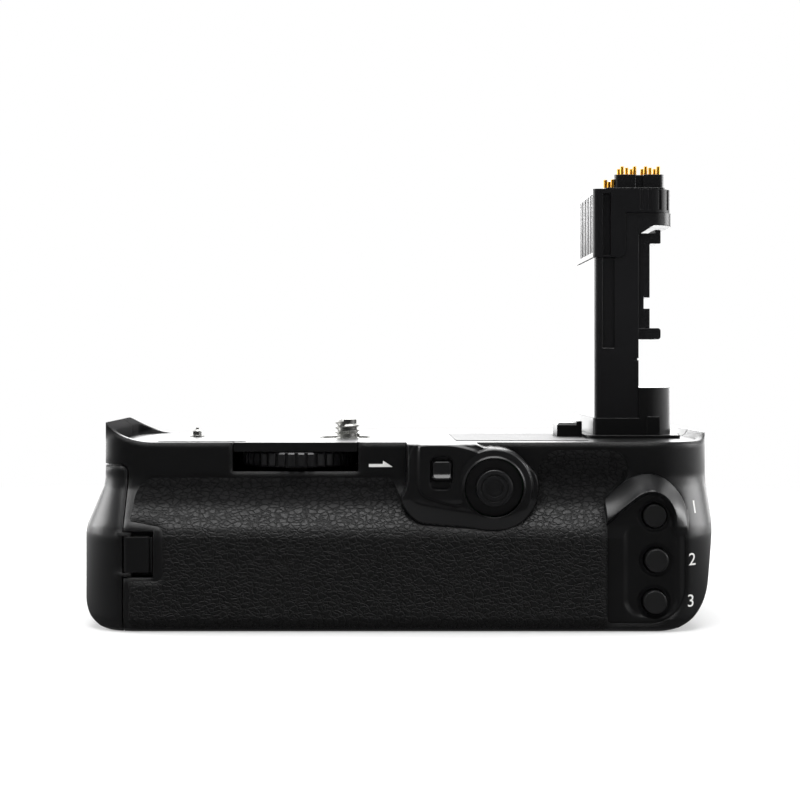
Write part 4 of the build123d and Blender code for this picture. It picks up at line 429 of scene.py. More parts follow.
# Every finish of the grip. The comments say what each gives the eye.
FINISHES = {
    # ABS with a spark-eroded mould texture: near black, soft sheen, thin light on each edge
    "body_plastic": Moulded("textured_abs", "0e0e0f", "131314", 0.3, 0.3, 0.014, 0.3, 0.42),
    # the same ABS on the swept covers: creases blended over a few millimetres, with painted shade where little
    # light falls: two patches with less shine
    "swept_plastic": Moulded(
        "textured_abs_swept", "0e0e0f", "131314", 0.3, 0.3, 0.012, 2.2, 0.42,
        painted_shade_patches=(
            PaintedShadePatch((31.0, -30.0, 28.0), (19.5, 40.0, 9.0), 0.15),
            PaintedShadePatch((-56.0, 2.0, 47.5), (9.0, 31.0, 4.6), 0.1),
        ),
    ),
    # plain moulded ABS of the inner works: duller
    "inner_plastic": Moulded("plain_abs", "0d0d0e", "131314", 0.55, 0.5, 0.015),
    # glass-filled polycarbonate of the tower: glossier, with sharper reflections
    "head_plastic": Moulded("polished_polycarbonate", "131314", "18181a", 0.24, 0.8, 0.006, 0.25, 0.55),
    # glossy ABS of the ribbed head: its ribs keep crisp edges
    "ribbed_plastic": Moulded("glossy_abs_ribbed", "131314", "18181a", 0.3, 0.8, 0.006, 0.1, 0.3),
    # rubber skin with leather grain: matte, cells about a millimetre across, creases painted darker as shade,
    # and painted shade under the shoulder: less shine there
    "leather_rubber": GrainedRubber(
        "leather_grain_rubber", "0e0e0f", "050506", 0.46,
        painted_shade_patches=(PaintedShadePatch((0.0, -30.0, 37.0), (400.0, 40.0, 8.0), 0.5),),
    ),
    # smooth rubber pad on the deck: matte dark grey
    "pad_rubber": Moulded("smooth_rubber", "161617", "1d1d1e", 0.5, 0.3, 0.02, specular=0.7),
    # black anodised aluminium of the wheel: dark with bright bevels
    "wheel_metal": Moulded("black_anodised_aluminium", "121213", "19191b", 0.33, 0.25, 0.008, 0.28, 0.6),
    # satin polycarbonate of the buttons: dark grey, even
    "control_plastic": Moulded("satin_polycarbonate", "141415", "19191a", 0.46, 0.25, 0.012, 0.3, 0.45),
    # polished ABS of the joystick's cap and the small key: fine crisp rings
    "key_plastic": Moulded("polished_abs_key", "131314", "18181a", 0.28, 0.25, 0.004, 0.06, 0.7),
    # enamelled metal of the shutter button and the lever: black, smooth
    "control_metal": Moulded("satin_enamel", "0e0e0f", "141415", 0.32, 0.6, 0.006, 0.3, 0.5, 1.52),
    # turned stainless steel: bright with fine rings
    "steel": Machined("turned_stainless_steel", "b9b9b6", "8f8f8d", 0.25, 0.12),
    # gears of chemically blackened brass: dark brown, a yellow hint where they catch light
    "gear_brass": Machined("blackened_brass", "2a241c", "1c1813", 0.42, 0.15),
    # gold plate on the contacts: deep yellow, polished
    "gold": Machined("gold_plate", "d9a441", "b5822c", 0.36, 0.1),
    # green solder-mask lacquer over glass fibre board
    "circuit_board": Moulded("green_solder_mask", "0f3d22", "16502d", 0.3, 0.7, 0.01, 0.1, 0.5),
    # battery shell: dark grey matte ABS
    "pack_shell": Moulded("pack_abs", "1f1f21", "272729", 0.5, 0.4, 0.015),
    # white pad-printed ink: opaque, a little uneven
    "print": Moulded("white_print_ink", "e8e8e6", "cfcfcc", 0.5, 0.2, 0.004, 0.02, 0.4),
}

# Nodes whose finish differs from their slot's
SWEPT_NODES = ("rear_cover", "front_cover", "end_cap")


class Palette:
    """Makes each finish once and hands it out."""

    def __init__(self) -> None:
        """Starts with nothing made."""
        self.made: Dict[str, bpy.types.Material] = {}

    def dress(self, piece: Piece, finish: str) -> None:
        """Gives a piece one finish all over.

        Args:
            piece: a mesh object.
            finish: the finish's key.
        """
        if finish not in self.made:
            self.made[finish] = FINISHES[finish].material()
        piece.data.materials.clear()
        piece.data.materials.append(self.made[finish])


# ---------------------------------------------------------------- modelling helpers


def deselect() -> None:
    """Leaves nothing selected, in object mode."""
    if bpy.context.object is not None and bpy.context.object.mode != "OBJECT":
        bpy.ops.object.mode_set(mode="OBJECT")
    bpy.ops.object.select_all(action="DESELECT")


def use(piece: Piece) -> None:
    """Makes a piece the only selected and active one."""
    deselect()
    piece.select_set(True)
    bpy.context.view_layer.objects.active = piece


def named(name: str) -> Piece:
    """Gives the active piece and its mesh a name, and returns the piece."""
    piece = bpy.context.object
    piece.name = name
    piece.data.name = name
    return piece


def apply_place() -> None:
    """Moves the active piece's place, turn and scale into its mesh."""
    bpy.ops.object.transform_apply(location=True, rotation=True, scale=True)


def edit_all(piece: Piece) -> None:
    """Opens a piece in edit mode with all of it selected."""
    use(piece)
    bpy.ops.object.mode_set(mode="EDIT")
    bpy.ops.mesh.select_all(action="SELECT")


def close_outwards() -> None:
    """Turns all faces of the open piece outwards and closes it."""
    bpy.ops.mesh.select_all(action="SELECT")
    bpy.ops.mesh.normals_make_consistent(inside=False)
    bpy.ops.object.mode_set(mode="OBJECT")


def cylinder(name: str, radius: float, depth: float, middle: Point, turn: Point, sides: int) -> Piece:
    """Adds a cylinder as the start of a piece.

    Args:
        name: the piece's name.
        radius: radius in millimetres.
        depth: length in millimetres.
        middle: its middle in millimetres.
        turn: its rotation from upright, in radians.
        sides: corners of its outline.

    Returns:
        The new piece, selected and active.
    """
    deselect()
    bpy.ops.mesh.primitive_cylinder_add(
        vertices=sides, radius=radius * MM, depth=depth * MM, location=Vector(middle) * MM, rotation=turn
    )
    piece = named(name)
    apply_place()
    return piece


def block(name: str, size: Point, middle: Point) -> Piece:
    """Adds a block as the start of a piece.

    Args:
        name: the piece's name.
        size: its three sizes in millimetres.
        middle: its middle in millimetres.

    Returns:
        The new piece, selected and active.
    """
    deselect()
    bpy.ops.mesh.primitive_cube_add(size=1.0, location=Vector(middle) * MM)
    piece = named(name)
    piece.scale = Vector(size) * MM
    apply_place()
    return piece


def clear_choice(*parts: bpy.types.bpy_prop_collection) -> None:
    """Clears the selection of vertices, edges or faces of a closed mesh."""
    for items in parts:
        items.foreach_set("select", [False] * len(items))


def step_in(piece: Piece, test: FaceTest, inset: float, rise: float) -> None:
    """Insets the chosen faces and then moves them along their normal.

    Args:
        piece: the active piece.
        test: chooses faces by their centre, in millimetres, and their normal.
        inset: width of the new rim in millimetres.
        rise: how far the middle moves out, negative for a recess.
    """
    bpy.ops.object.mode_set(mode="OBJECT")
    bpy.context.tool_settings.mesh_select_mode = (False, False, True)
    clear_choice(piece.data.vertices, piece.data.edges)
    for face in piece.data.polygons:
        face.select = bool(test(face.center / MM, face.normal))
    bpy.ops.object.mode_set(mode="EDIT")
    bpy.ops.mesh.inset(thickness=inset * MM, depth=0)
    if rise:
        normals = [face.normal for face in bmesh.from_edit_mesh(piece.data).faces if face.select]
        way = sum(normals, Vector()).normalized()
        bpy.ops.mesh.extrude_region_move(TRANSFORM_OT_translate={"value": way * rise * MM})
    bpy.ops.object.mode_set(mode="OBJECT")


def bevel_edges(piece: Piece, width: float, segments: int, angle: float = 60) -> None:
    """Rounds the sharp edges of a piece with an applied modifier.

    Args:
        piece: the piece.
        width: width in millimetres.
        segments: faces across each rounding.
        angle: edges sharper than this many degrees are rounded.
    """
    use(piece)
    bevel = piece.modifiers.new("rounding", "BEVEL")
    bevel.width = width * MM
    bevel.segments = segments
    bevel.limit_method = "ANGLE"
    bevel.angle_limit = math.radians(angle)
    bpy.ops.object.modifier_apply(modifier=bevel.name)


def smooth(piece: Piece, angle: float) -> None:
    """Shades a piece smooth across edges flatter than an angle in degrees."""
    use(piece)
    bpy.ops.object.shade_smooth_by_angle(angle=math.radians(angle))


def join(name: str, parts: Sequence[Piece]) -> Piece:
    """Joins several pieces into one.

    Args:
        name: the name of the result.
        parts: the pieces, of which the first is kept.

    Returns:
        The joined piece.
    """
    deselect()
    for part in parts:
        part.select_set(True)
    bpy.context.view_layer.objects.active = parts[0]
    bpy.ops.object.join()
    return named(name)


def islands(node: Piece) -> List[Tuple[Vector, Vector]]:
    """The boxes of a node's separate solids.

    Args:
        node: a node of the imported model.

    Returns:
        Pairs of lowest and highest corner in millimetres, from left to right.
    """
    mesh = bmesh.new()
    mesh.from_mesh(node.data)
    bmesh.ops.remove_doubles(mesh, verts=mesh.verts, dist=MERGE_MM * MM)
    left = set(mesh.verts)
    boxes = []
    while left:
        waiting = [left.pop()]
        seen = []
        while waiting:
            vertex = waiting.pop()
            seen.append(vertex.co.copy())
            for edge in vertex.link_edges:
                other = edge.other_vert(vertex)
                if other in left:
                    left.remove(other)
                    waiting.append(other)
        low, high = (Vector([pick(co[axis] for co in seen) for axis in range(3)]) / MM for pick in (min, max))
        boxes.append((low, high))
    mesh.free()
    return sorted(boxes, key=lambda pair: (round(pair[0].x, 3), round(pair[0].y, 3)))


def copy_node(node: Piece, name: str) -> Piece:
    """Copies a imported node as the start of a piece, with its doubled points merged.

    Args:
        node: the node.
        name: the piece's name.

    Returns:
        The copy, selected and active.
    """
    piece = bpy.data.objects.new(name, node.data.copy())
    piece.data.name = name
    bpy.context.scene.collection.objects.link(piece)
    use(piece)
    if piece.data.has_custom_normals:
        bpy.ops.mesh.customdata_custom_splitnormals_clear()
    edit_all(piece)
    bpy.ops.mesh.remove_doubles(threshold=MERGE_MM * MM)
    close_outwards()
    return piece


def carve(piece: Piece, cutter: Piece) -> None:
    """Cuts one piece with another, which is used up.

    Args:
        piece: the piece that stays.
        cutter: the tool's shape.
    """
    use(piece)
    cut = piece.modifiers.new("cut", "BOOLEAN")
    cut.object = cutter
    cut.operation = "DIFFERENCE"
    cut.solver = "EXACT"
    bpy.ops.object.modifier_apply(modifier=cut.name)
    bpy.data.objects.remove(cutter, do_unlink=True)


def ease(value: float) -> float:
    """Smooth step from 0 to 1."""
    value = min(max(value, 0.0), 1.0)
    return value * value * (3 - 2 * value)


def between(start: float, end: float, share: float) -> float:
    """A value part of the way from a start to an end."""
    return start + (end - start) * share


def off_outline(place: Vector, outline: Outline) -> float:
    """Distance from a closed outline, negative inside it.

    Args:
        place: the place, across and up.
        outline: the outline's corners.

    Returns:
        The distance in the outline's unit.
    """
    nearest = math.inf
    inside = False
    for start, end in zip(outline, outline[1:] + outline[:1]):
        run = Vector(end) - Vector(start)
        share = min(max((place - Vector(start)).dot(run) / run.length_squared, 0.0), 1.0)
        nearest = min(nearest, (place - Vector(start) - run * share).length)
        if (start[1] > place.y) != (end[1] > place.y):
            if place.x < start[0] + (place.y - start[1]) / (end[1] - start[1]) * run.x:
                inside = not inside
    return -nearest if inside else nearest


def softened(outline: Outline, rounds: int = 2) -> Outline:
    """Cuts the corners of a closed outline until it runs smoothly.

    Args:
        outline: the outline's corners.
        rounds: how often every corner is cut.

    Returns:
        The smoother outline.
    """
    for _round in range(rounds):
        outline = tuple(
            tuple(between(a, b, share) for a, b in zip(start, end))
            for start, end in zip(outline, outline[1:] + outline[:1])
            for share in (0.25, 0.75)
        )
    return outline


def off_tablet(place: Vector, sides: Tablet, corner: float) -> float:
    """Distance from a rectangle with round corners, negative inside it.

    Args:
        place: the place, across and up.
        sides: left, right, low and high.
        corner: radius of the corners.

    Returns:
        The distance.
    """
    left, right, low, high = sides
    over = (
        abs(place.x - (left + right) / 2) - (right - left) / 2 + corner,
        abs(place.y - (low + high) / 2) - (high - low) / 2 + corner,
    )
    return math.hypot(max(over[0], 0.0), max(over[1], 0.0)) + min(max(over), 0.0) - corner


def relief(
    name: str, sides: Tablet, pitch: float, depth: Callable[[Vector], Optional[float]], thickness: float
) -> Piece:
    """Shapes a fine grid that faces the operator into a relief.

    Args:
        name: the piece's name.
        sides: left, right, low and high in millimetres.
        pitch: spacing of the grid.
        depth: gives the depth at a place, or None where the relief is open.
        thickness: wall thickness.

    Returns:
        The relief as a closed shell.
    """
    left, right, low, high = sides
    deselect()
    bpy.ops.mesh.primitive_grid_add(
        x_subdivisions=round((right - left) / pitch),
        y_subdivisions=round((high - low) / pitch),
        size=1.0,
        location=((left + right) / 2 * MM, 0.0, (low + high) / 2 * MM),
        rotation=FACING,
    )
    piece = named(name)
    piece.scale = Vector((right - left, high - low, 1.0)) * MM
    apply_place()
    opened = []
    for vertex in piece.data.vertices:
        level = depth(Vector((vertex.co.x, vertex.co.z)) / MM)
        vertex.select = level is None
        opened.append(level is None)
        vertex.co.y = (level or 0.0) * MM
    for items in (piece.data.edges, piece.data.polygons):
        for item in items:
            item.select = any(opened[index] for index in item.vertices)
    use(piece)
    bpy.context.tool_settings.mesh_select_mode = (True, False, False)
    bpy.ops.object.mode_set(mode="EDIT")
    if any(opened):
        bpy.ops.mesh.delete(type="VERT")
    bpy.ops.mesh.select_all(action="SELECT")
    bpy.ops.mesh.extrude_region_move(TRANSFORM_OT_translate={"value": (0, thickness * MM, 0)})
    close_outwards()
    return piece


@dataclass
class Assembly:
    """What every sub-assembly has: the frame it is built around and the finishes."""

    frame: Mapping
    palette: Palette

    def finish_piece(
        self, piece: Piece, body: Body, slot: str, finish: Optional[str] = None, *replaced: str
    ) -> None:
        """Dresses a new piece, hides the nodes that it stands for and sets it on its body.

        Args:
            piece: the piece.
            body: the body that it rides on.
            slot: the record's slot that its finish comes from.
            finish: the key of its finish where that isn't the slot.
            replaced: nodes that it stands for.
        """
        self.palette.dress(piece, finish or slot)
        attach(piece, body.value)
        if replaced:
            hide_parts(*replaced)
        log.info("%s: %d faces", piece.name, len(piece.data.polygons))


# ---------------------------------------------------------------- threads


@dataclass
class Threads(Assembly):
    """The attachment screw with its thread and the thread inside the tripod socket."""

    thread_radius: float = 3.175  # quarter inch
    pitch: float = 1.27  # twenty turns to the inch
    depth: float = 0.62
    half_foot: float = 0.46  # half widths of the ridge's foot and crest, by the pitch
    half_crest: float = 0.08
    sides: int = 48
    overlap: float = 0.05
    chamfer: float = 0.35
    screw_low: float = 43.4  # the thread ends inside the dish
    screw_high: float = 48.1
    shank_radius: float = 2.85
    head_radius: float = 2.0
    neck_low: float = 36.6
    socket_low: float = 0.8
    socket_turns: float = 3.4
    socket_play: float = 0.02

    def coil(self, name: str, root: float, crest: float, low: float, turns: float) -> Piece:
        """Winds a thread's ridge.

        Args:
            name: the piece's name.
            root: radius of the ridge's foot in millimetres.
            crest: radius of its crest.
            low: height of its lower end.
            turns: how often it goes round.

        Returns:
            The ridge as a mesh.
        """
        deselect()
        bpy.ops.mesh.primitive_circle_add(vertices=4, radius=1.0, fill_type="NOTHING", location=UPRIGHT)
        piece = bpy.context.object
        piece.name = name
        half = self.pitch * self.half_foot
        flat = self.pitch * self.half_crest
        corners = [(root, -half), (crest, -flat), (crest, flat), (root, half)]
        for vertex, (radius, height) in zip(piece.data.vertices, corners):
            vertex.co = Vector((radius, 0, low + height)) * MM
        screw = piece.modifiers.new("winding", "SCREW")
        screw.axis = "Z"
        screw.angle = math.tau * turns
        screw.screw_offset = self.pitch * turns * MM
        screw.steps = int(self.sides * turns)
        screw.render_steps = screw.steps
        bpy.ops.object.modifier_apply(modifier=screw.name)
        bpy.ops.object.mode_set(mode="EDIT")
        bpy.ops.mesh.select_mode(type="EDGE")
        bpy.ops.mesh.select_all(action="DESELECT")
        bpy.ops.mesh.select_non_manifold()
        bpy.ops.mesh.edge_face_add()
        close_outwards()
        return piece

    def turned(self, name: str, radius: float, low: float, high: float) -> Piece:
        """One turned part of the screw, from a low to a high end."""
        return cylinder(name, radius, high - low, (0, 0, (high + low) / 2), UPRIGHT, self.sides)

    def attachment_screw(self) -> None:
        """Steel screw that stands out of the deck."""
        low, _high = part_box("attachment_screw")
        root = self.thread_radius - self.depth
        core = self.turned("screw_core", root, self.screw_low, self.screw_high)
        step_in(core, lambda centre, normal: normal.z > 0.9, self.chamfer, 0.0)
        stem = self.turned("screw_stem", self.head_radius, low.z / MM, self.neck_low)
        shank = self.turned("screw_shank", self.shank_radius, self.neck_low, self.screw_low)
        turns = (self.screw_high - self.screw_low - self.pitch) / self.pitch
        start = self.screw_low + self.pitch / 2
        ridge = self.coil("screw_ridge", root - self.overlap, self.thread_radius, start, turns)
        piece = join("attachment_screw_thread", [core, stem, shank, ridge])
        smooth(piece, 40)
        self.finish_piece(piece, Body.SCREW, "steel", None, "attachment_screw")

    def socket(self) -> None:
        """Thread inside the socket in the underside."""
        root, crest = self.thread_radius + self.socket_play, self.thread_radius - self.depth
        ridge = self.coil("tripod_socket_thread", root, crest, self.socket_low, self.socket_turns)
        smooth(ridge, 40)
        self.finish_piece(ridge, Body.GRIP, "steel")

    def build(self) -> None:
        """Makes both threads."""
        self.attachment_screw()
        self.socket()


# ---------------------------------------------------------------- contacts


@dataclass
class ContactPins(Assembly):
    """Gold-plated round pins at the top of the tower, each with a rounded tip."""

    sides: int = 20
    tip_share: float = 0.35  # rounding of the tip, by the pin's radius
    plating: float = 0.11

    def pins(self, node: str, body: Body) -> None:
        """Turns one pin for each solid of a node.

        Args:
            node: the node that holds the plain pins.
            body: the body that the pins ride on.
        """
        made = []
        for index, (low, high) in enumerate(islands(self.frame["nodes"][node])):
            radius = (high.x - low.x) / 2 + self.plating
            middle = tuple((low + high) / 2)
            pin = cylinder(f"{node}_{index + 1}", radius, high.z - low.z, middle, UPRIGHT, self.sides)
            bevel_edges(pin, self.tip_share * radius, 3)
            made.append(pin)
        piece = join(f"{node}_turned", made)
        smooth(piece, 40)
        self.finish_piece(piece, body, "gold", None, node)

    def build(self) -> None:
        """Makes the sprung pins and the low trio."""
        self.pins("contact_pins", Body.CONTACTS)
        self.pins("low_contact_pins", Body.GRIP)


# ---------------------------------------------------------------- joystick


@dataclass
class Joystick(Assembly):
    """Round cap of the joystick: rings turned into its face, and ticks round the dimple."""

    middle_x: float = 34.8
    middle_z: float = 33.2
    sides: int = 64
    rounding: float = 0.4
    rim_width: float = 0.55
    wall_width: float = 0.08
    groove_width: float = 0.35
    groove_depth: float = 0.32
    band_width: float = 0.5
    dish_lip: float = 0.25
    dish_depth: float = 0.6
    dimple_width: float = 0.7
    skirt_radius: float = 6.6
    skirt_rear: float = -0.15  # from the cap's back, towards its front
    skirt_thickness: float = 0.35
    tick_ring: float = 3.35
    ticks: int = 8
    tick_start: float = 20.0
    tick_size: Point = (0.2, 0.3, 0.55)

    def faces_operator(self, centre: Vector, normal: Vector) -> bool:
        """Whether a face is the round one in the middle of the cap's front."""
        off_axis = math.hypot(centre.x - self.middle_x, centre.z - self.middle_z)
        return normal.y < -0.9 and off_axis < 0.1

    def disc(self, name: str, radius: float, rear: float, front: float) -> Piece:
        """A round disc on the joystick's axis, between two depths."""
        middle = (self.middle_x, (rear + front) / 2, self.middle_z)
        return cylinder(name, radius, front - rear, middle, FACING, self.sides)

    def tick(self, index: int, rear: float) -> Piece:
        """Sets one tick on its ring.

        Args:
            index: which tick.
            rear: depth of the cap's face.

        Returns:
            The tick, turned towards the middle.
        """
        angle = math.radians(self.tick_start + 360 * index / self.ticks)
        place = Vector(
            (
                self.middle_x + self.tick_ring * math.cos(angle),
                rear + self.groove_depth / 2,
                self.middle_z + self.tick_ring * math.sin(angle),
            )
        )
        tick = block(f"tick_{index + 1}", self.tick_size, tuple(place))
        edit_all(tick)
        bpy.ops.transform.rotate(
            value=angle - math.pi / 2, orient_axis="Y", orient_type="GLOBAL", center_override=place * MM
        )
        bpy.ops.object.mode_set(mode="OBJECT")
        return tick

    def build(self) -> None:
        """Models the cap over the plain one, with a skirt that closes the opening in the ring."""
        low, high = (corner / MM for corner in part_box("stick_cap"))
        cap = self.disc("joystick_cap", (high.x - low.x) / 2, low.y, high.y)
        bevel_edges(cap, self.rounding, 3)
        for inset, rise in (
            (self.rim_width, 0.0),
            (self.wall_width, -self.groove_depth),
            (self.groove_width, 0.0),
            (self.wall_width, self.groove_depth),
            (self.band_width, 0.0),
            (self.dish_lip, -self.dish_depth),
            (self.dimple_width, -self.wall_width),
        ):
            step_in(cap, self.faces_operator, inset, rise)
        start = high.y + self.skirt_rear
        parts = [cap, self.disc("joystick_skirt", self.skirt_radius, start, start + self.skirt_thickness)]
        parts += [self.tick(index, low.y) for index in range(self.ticks)]
        piece = join("joystick_cap", parts)
        smooth(piece, 35)
        self.finish_piece(piece, Body.STICK_CAP, "control_plastic", "key_plastic", "stick_cap")


# ---------------------------------------------------------------- latch


@dataclass
class LatchGrip(Assembly):
    """Narrow strip along the free edge of the latch, behind a groove for the fingernail."""

    gap: float = 0.3
    width: float = 0.42
    thickness: float = 0.9
    recess: float = 0.05
    shorter: float = 0.1  # than the latch
    rounding: float = 0.1
    web_depth: float = 0.5
    web_lap: float = 0.6
    web_recess: float = 0.5
    web_shorter: float = 0.4  # than the strip

    def build(self) -> None:
        """Sets the strip on the latch with a sunk web between them."""
        low, high = (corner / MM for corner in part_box("drawer_latch"))
        middle_z = (low.z + high.z) / 2
        height = high.z - low.z - self.shorter
        strip = block(
            "latch_grip",
            (self.width, self.thickness, height),
            (high.x + self.gap + self.width / 2, low.y + self.thickness / 2 + self.recess, middle_z),
        )
        bevel_edges(strip, self.rounding, 2)
        web = block(
            "latch_web",
            (self.gap + self.web_lap, self.web_depth, height - self.web_shorter),
            (high.x + self.gap / 2, low.y + self.web_recess + self.web_depth / 2, middle_z),
        )
        piece = join("latch_grip", [strip, web])
        smooth(piece, 30)
        self.finish_piece(piece, Body.LATCH, "body_plastic")


# ---------------------------------------------------------------- deck


@dataclass
class Deck(Assembly):
    """Top cover whose left end is hollowed, so that the covers stand round it as a thin lip."""

    hollow_right: float = -45.3
    hollow_size: Point = (40.0, 120.0, 20.0)
    floor_z: float = 43.5
    floor_t: float = 1.1
    floor_left: float = -55.0
    floor_rear: float = -23.5
    floor_front: float = 20.5
    floor_corner: float = 7.5

    def floor(self) -> Piece:
        """Flat floor of the hollow, with its two left corners rounded."""
        right, left, rear, front = self.hollow_right, self.floor_left, self.floor_rear, self.floor_front
        floor = block(
            "cradle_floor",
            (right - left, front - rear, self.floor_t),
            ((right + left) / 2, (front + rear) / 2, self.floor_z - self.floor_t / 2),
        )
        bpy.ops.object.mode_set(mode="OBJECT")
        bpy.context.tool_settings.mesh_select_mode = (False, True, False)
        clear_choice(floor.data.vertices, floor.data.polygons)
        for edge in floor.data.edges:
            ends = [floor.data.vertices[index].co for index in edge.vertices]
            upright = abs(ends[0].z - ends[1].z) > self.floor_t / 2 * MM
            edge.select = upright and ends[0].x / MM < left + 1
        bpy.ops.object.mode_set(mode="EDIT")
        bpy.ops.mesh.bevel(offset=self.floor_corner * MM, segments=8, affect="EDGES")
        bpy.ops.object.mode_set(mode="OBJECT")
        return floor

    def build(self) -> None:
        """Hollows the left end and lays the floor there."""
        cover = copy_node(self.frame["nodes"]["top_cover"], "deck_cover")
        width, _depth, height = self.hollow_size
        middle = (self.hollow_right - width / 2, 0.0, self.floor_z + height / 2)
        carve(cover, block("hollow", self.hollow_size, middle))
        piece = join("deck_cover", [cover, self.floor()])
        smooth(piece, 30)
        self.finish_piece(piece, Body.GRIP, "body_plastic", None, "top_cover")


# ---------------------------------------------------------------- plinth


@dataclass
class Plinth(Assembly):
    """Housing of the joystick and the small button: a tapered panel beside a round crest, on a wider foot."""

    sides: Tablet = (13.0, 46.0, 23.2, 43.5)
    pitch: float = 0.16
    wall: float = 1.0
    soft: float = 0.5  # width over which one level eases into the next
    foot: Outline = (
        (14.5, 44.9), (14.5, 43.5), (14.4, 33.0), (12.6, 30.6), (14.0, 27.6), (16.6, 25.2), (19.5, 24.6),
        (28.6, 24.0), (31.6, 23.4), (34.9, 23.2), (38.2, 23.6), (41.2, 25.0), (43.6, 27.4), (45.2, 30.6),
        (45.5, 33.6), (44.9, 36.2), (43.3, 38.0), (40.9, 40.8), (38.0, 42.4), (34.7, 42.8), (32.0, 42.6),
        (29.0, 44.9),
    )
    foot_margin: float = 0.3
    foot_round: float = 0.35
    step: Outline = (
        (14.95, 44.5), (14.95, 32.2), (15.6, 30.4), (17.3, 29.4), (27.4, 27.8), (33.0, 27.0), (36.0, 30.0),
        (34.0, 39.5), (31.8, 41.9), (28.0, 43.55), (26.0, 44.5),
    )
    panel: Outline = (
        (17.9, 42.9), (17.5, 42.4), (17.5, 33.6), (18.2, 31.9), (19.9, 30.9), (27.5, 28.9), (26.5, 32.0),
        (26.4, 35.4), (27.3, 38.6), (29.4, 40.7), (31.4, 41.3), (24.6, 43.05),
    )
    panel_bevel: float = 0.8
    ring_x: float = 34.7
    ring_z: float = 33.25
    ring_open: float = 6.55
    ring_in: float = 6.8
    ring_crest: float = 6.95
    ring_flank: float = 7.4
    ring_foot: float = 8.75
    ring_reach: float = 0.4
    ring_slope: float = 0.2
    ring_sink: float = 1.2
    ring_edge: float = 0.25
    crest_y: float = -32.55
    flank_y: float = -32.05
    foot_y: float = -30.8
    step_y: float = -31.05
    panel_y: float = -31.9
    back_y: float = -26.6
    slope: float = 0.42
    slope_from: float = 30.5
    dish: Tablet = (19.7, 25.15, 32.7, 40.7)
    dish_corner: float = 1.7
    dish_fall: float = 0.85
    opening: Tablet = (20.1, 25.1, 34.7, 39.7)
    opening_corner: float = 0.8
    opening_lap: float = 0.15
    body_top: float = 43.05
    key_pitch: float = 0.1
    key_wall: float = 1.6
    key_margin: float = 0.6  # flange beside the key
    key_low: float = 4.95  # under the top of the flange
    key_high: float = 0.55
    key_corner: float = 0.9
    key_rear: float = 0.15
    key_fall: float = 0.35
    key_round: float = 0.4
    flange_y: float = -30.1
    scoop: float = 0.95
    scoop_height: float = 1.6

    def depth(self, place: Vector) -> Optional[float]:
        """Depth of the housing at one place.

        Args:
            place: across and up, in millimetres.

        Returns:
            The depth in millimetres, or None in the openings and outside the foot.
        """
        off_foot = off_outline(place, self.foot)
        off_axis = math.hypot(place.x - self.ring_x, place.y - self.ring_z)
        off_opening = off_tablet(place, self.opening, self.opening_corner)
        if off_foot > self.foot_margin or off_axis < self.ring_open or off_opening < -self.opening_lap:
            return None
        lean = -max(0.0, self.slope_from - place.y) * self.slope
        level = self.foot_y + lean
        level -= (self.foot_y - self.step_y) * ease(0.5 - off_outline(place, self.step) / self.soft)
        level -= (self.step_y - self.panel_y) * ease(1.0 - off_outline(place, self.panel) / self.panel_bevel)
        if off_axis < self.ring_foot + self.ring_reach:
            fall = ease((off_axis - self.ring_crest) / (self.ring_flank - self.ring_crest))
            ring = between(self.crest_y, self.flank_y, fall)
            ring += self.ring_slope * max(0.0, off_axis - self.ring_flank)
            ring = between(ring, self.foot_y + lean, ease((off_axis - self.ring_foot) / self.soft))
            level = min(level, ring) if off_axis > self.ring_crest else ring
        if off_axis < self.ring_in:
            share = ease((self.ring_in - off_axis) / self.ring_edge)
            level = between(level, self.crest_y + self.ring_sink, share)
        sunk = off_tablet(place, self.dish, self.dish_corner)
        if sunk < 0:
            level = between(level, self.panel_y + self.dish_fall, ease(-sunk / self.soft))
        if off_foot > -self.foot_round:
            level = between(level, self.back_y + lean, ease((off_foot + self.foot_round) / self.soft))
        if place.y > self.body_top:
            share = min((place.y - self.body_top) / (self.sides[3] - self.body_top), 1.0)
            level = between(level, self.back_y, 1.0 - math.sqrt(1.0 - share * share))
        return level

    def key_depth(self, place: Vector, low: Vector, high: Vector) -> float:
        """Depth of the small button's face, which is scooped out at its foot.

        Args:
            place: across and up, in millimetres.
            low: lowest corner of the plain button.
            high: its highest corner.

        Returns:
            The depth in millimetres.
        """
        foot = high.z - self.key_low
        sides = (low.x + self.key_margin, high.x - self.key_margin, foot, high.z - self.key_high)
        off = off_tablet(place, sides, self.key_corner)
        if off > 0.0:
            return self.flange_y
        scoop = self.scoop * ease((foot + self.scoop_height - place.y) / self.scoop_height)
        rounding = self.key_fall * ease((off + self.key_round) / self.key_round)
        return low.y + self.key_rear - scoop + rounding

    def button(self) -> None:
        """Shapes the small button's keytop."""
        low, high = (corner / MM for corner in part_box("area_button"))
        top = relief(
            "area_keytop",
            (low.x, high.x, low.z, high.z),
            self.key_pitch,
            lambda place: self.key_depth(place, low, high),
            self.key_wall,
        )
        smooth(top, 50)
        self.finish_piece(top, Body.AREA_BUTTON, "control_plastic", "key_plastic", "area_button")

    def build(self) -> None:
        """Shapes the housing and the keytop."""
        self.foot, self.step, self.panel = (
            softened(outline) for outline in (self.foot, self.step, self.panel)
        )
        piece = relief("control_housing", self.sides, self.pitch, self.depth, self.wall)
        smooth(piece, 50)
        self.finish_piece(piece, Body.GRIP, "body_plastic", None, "control_plinth")
        self.button()


# ---------------------------------------------------------------- thumb panel


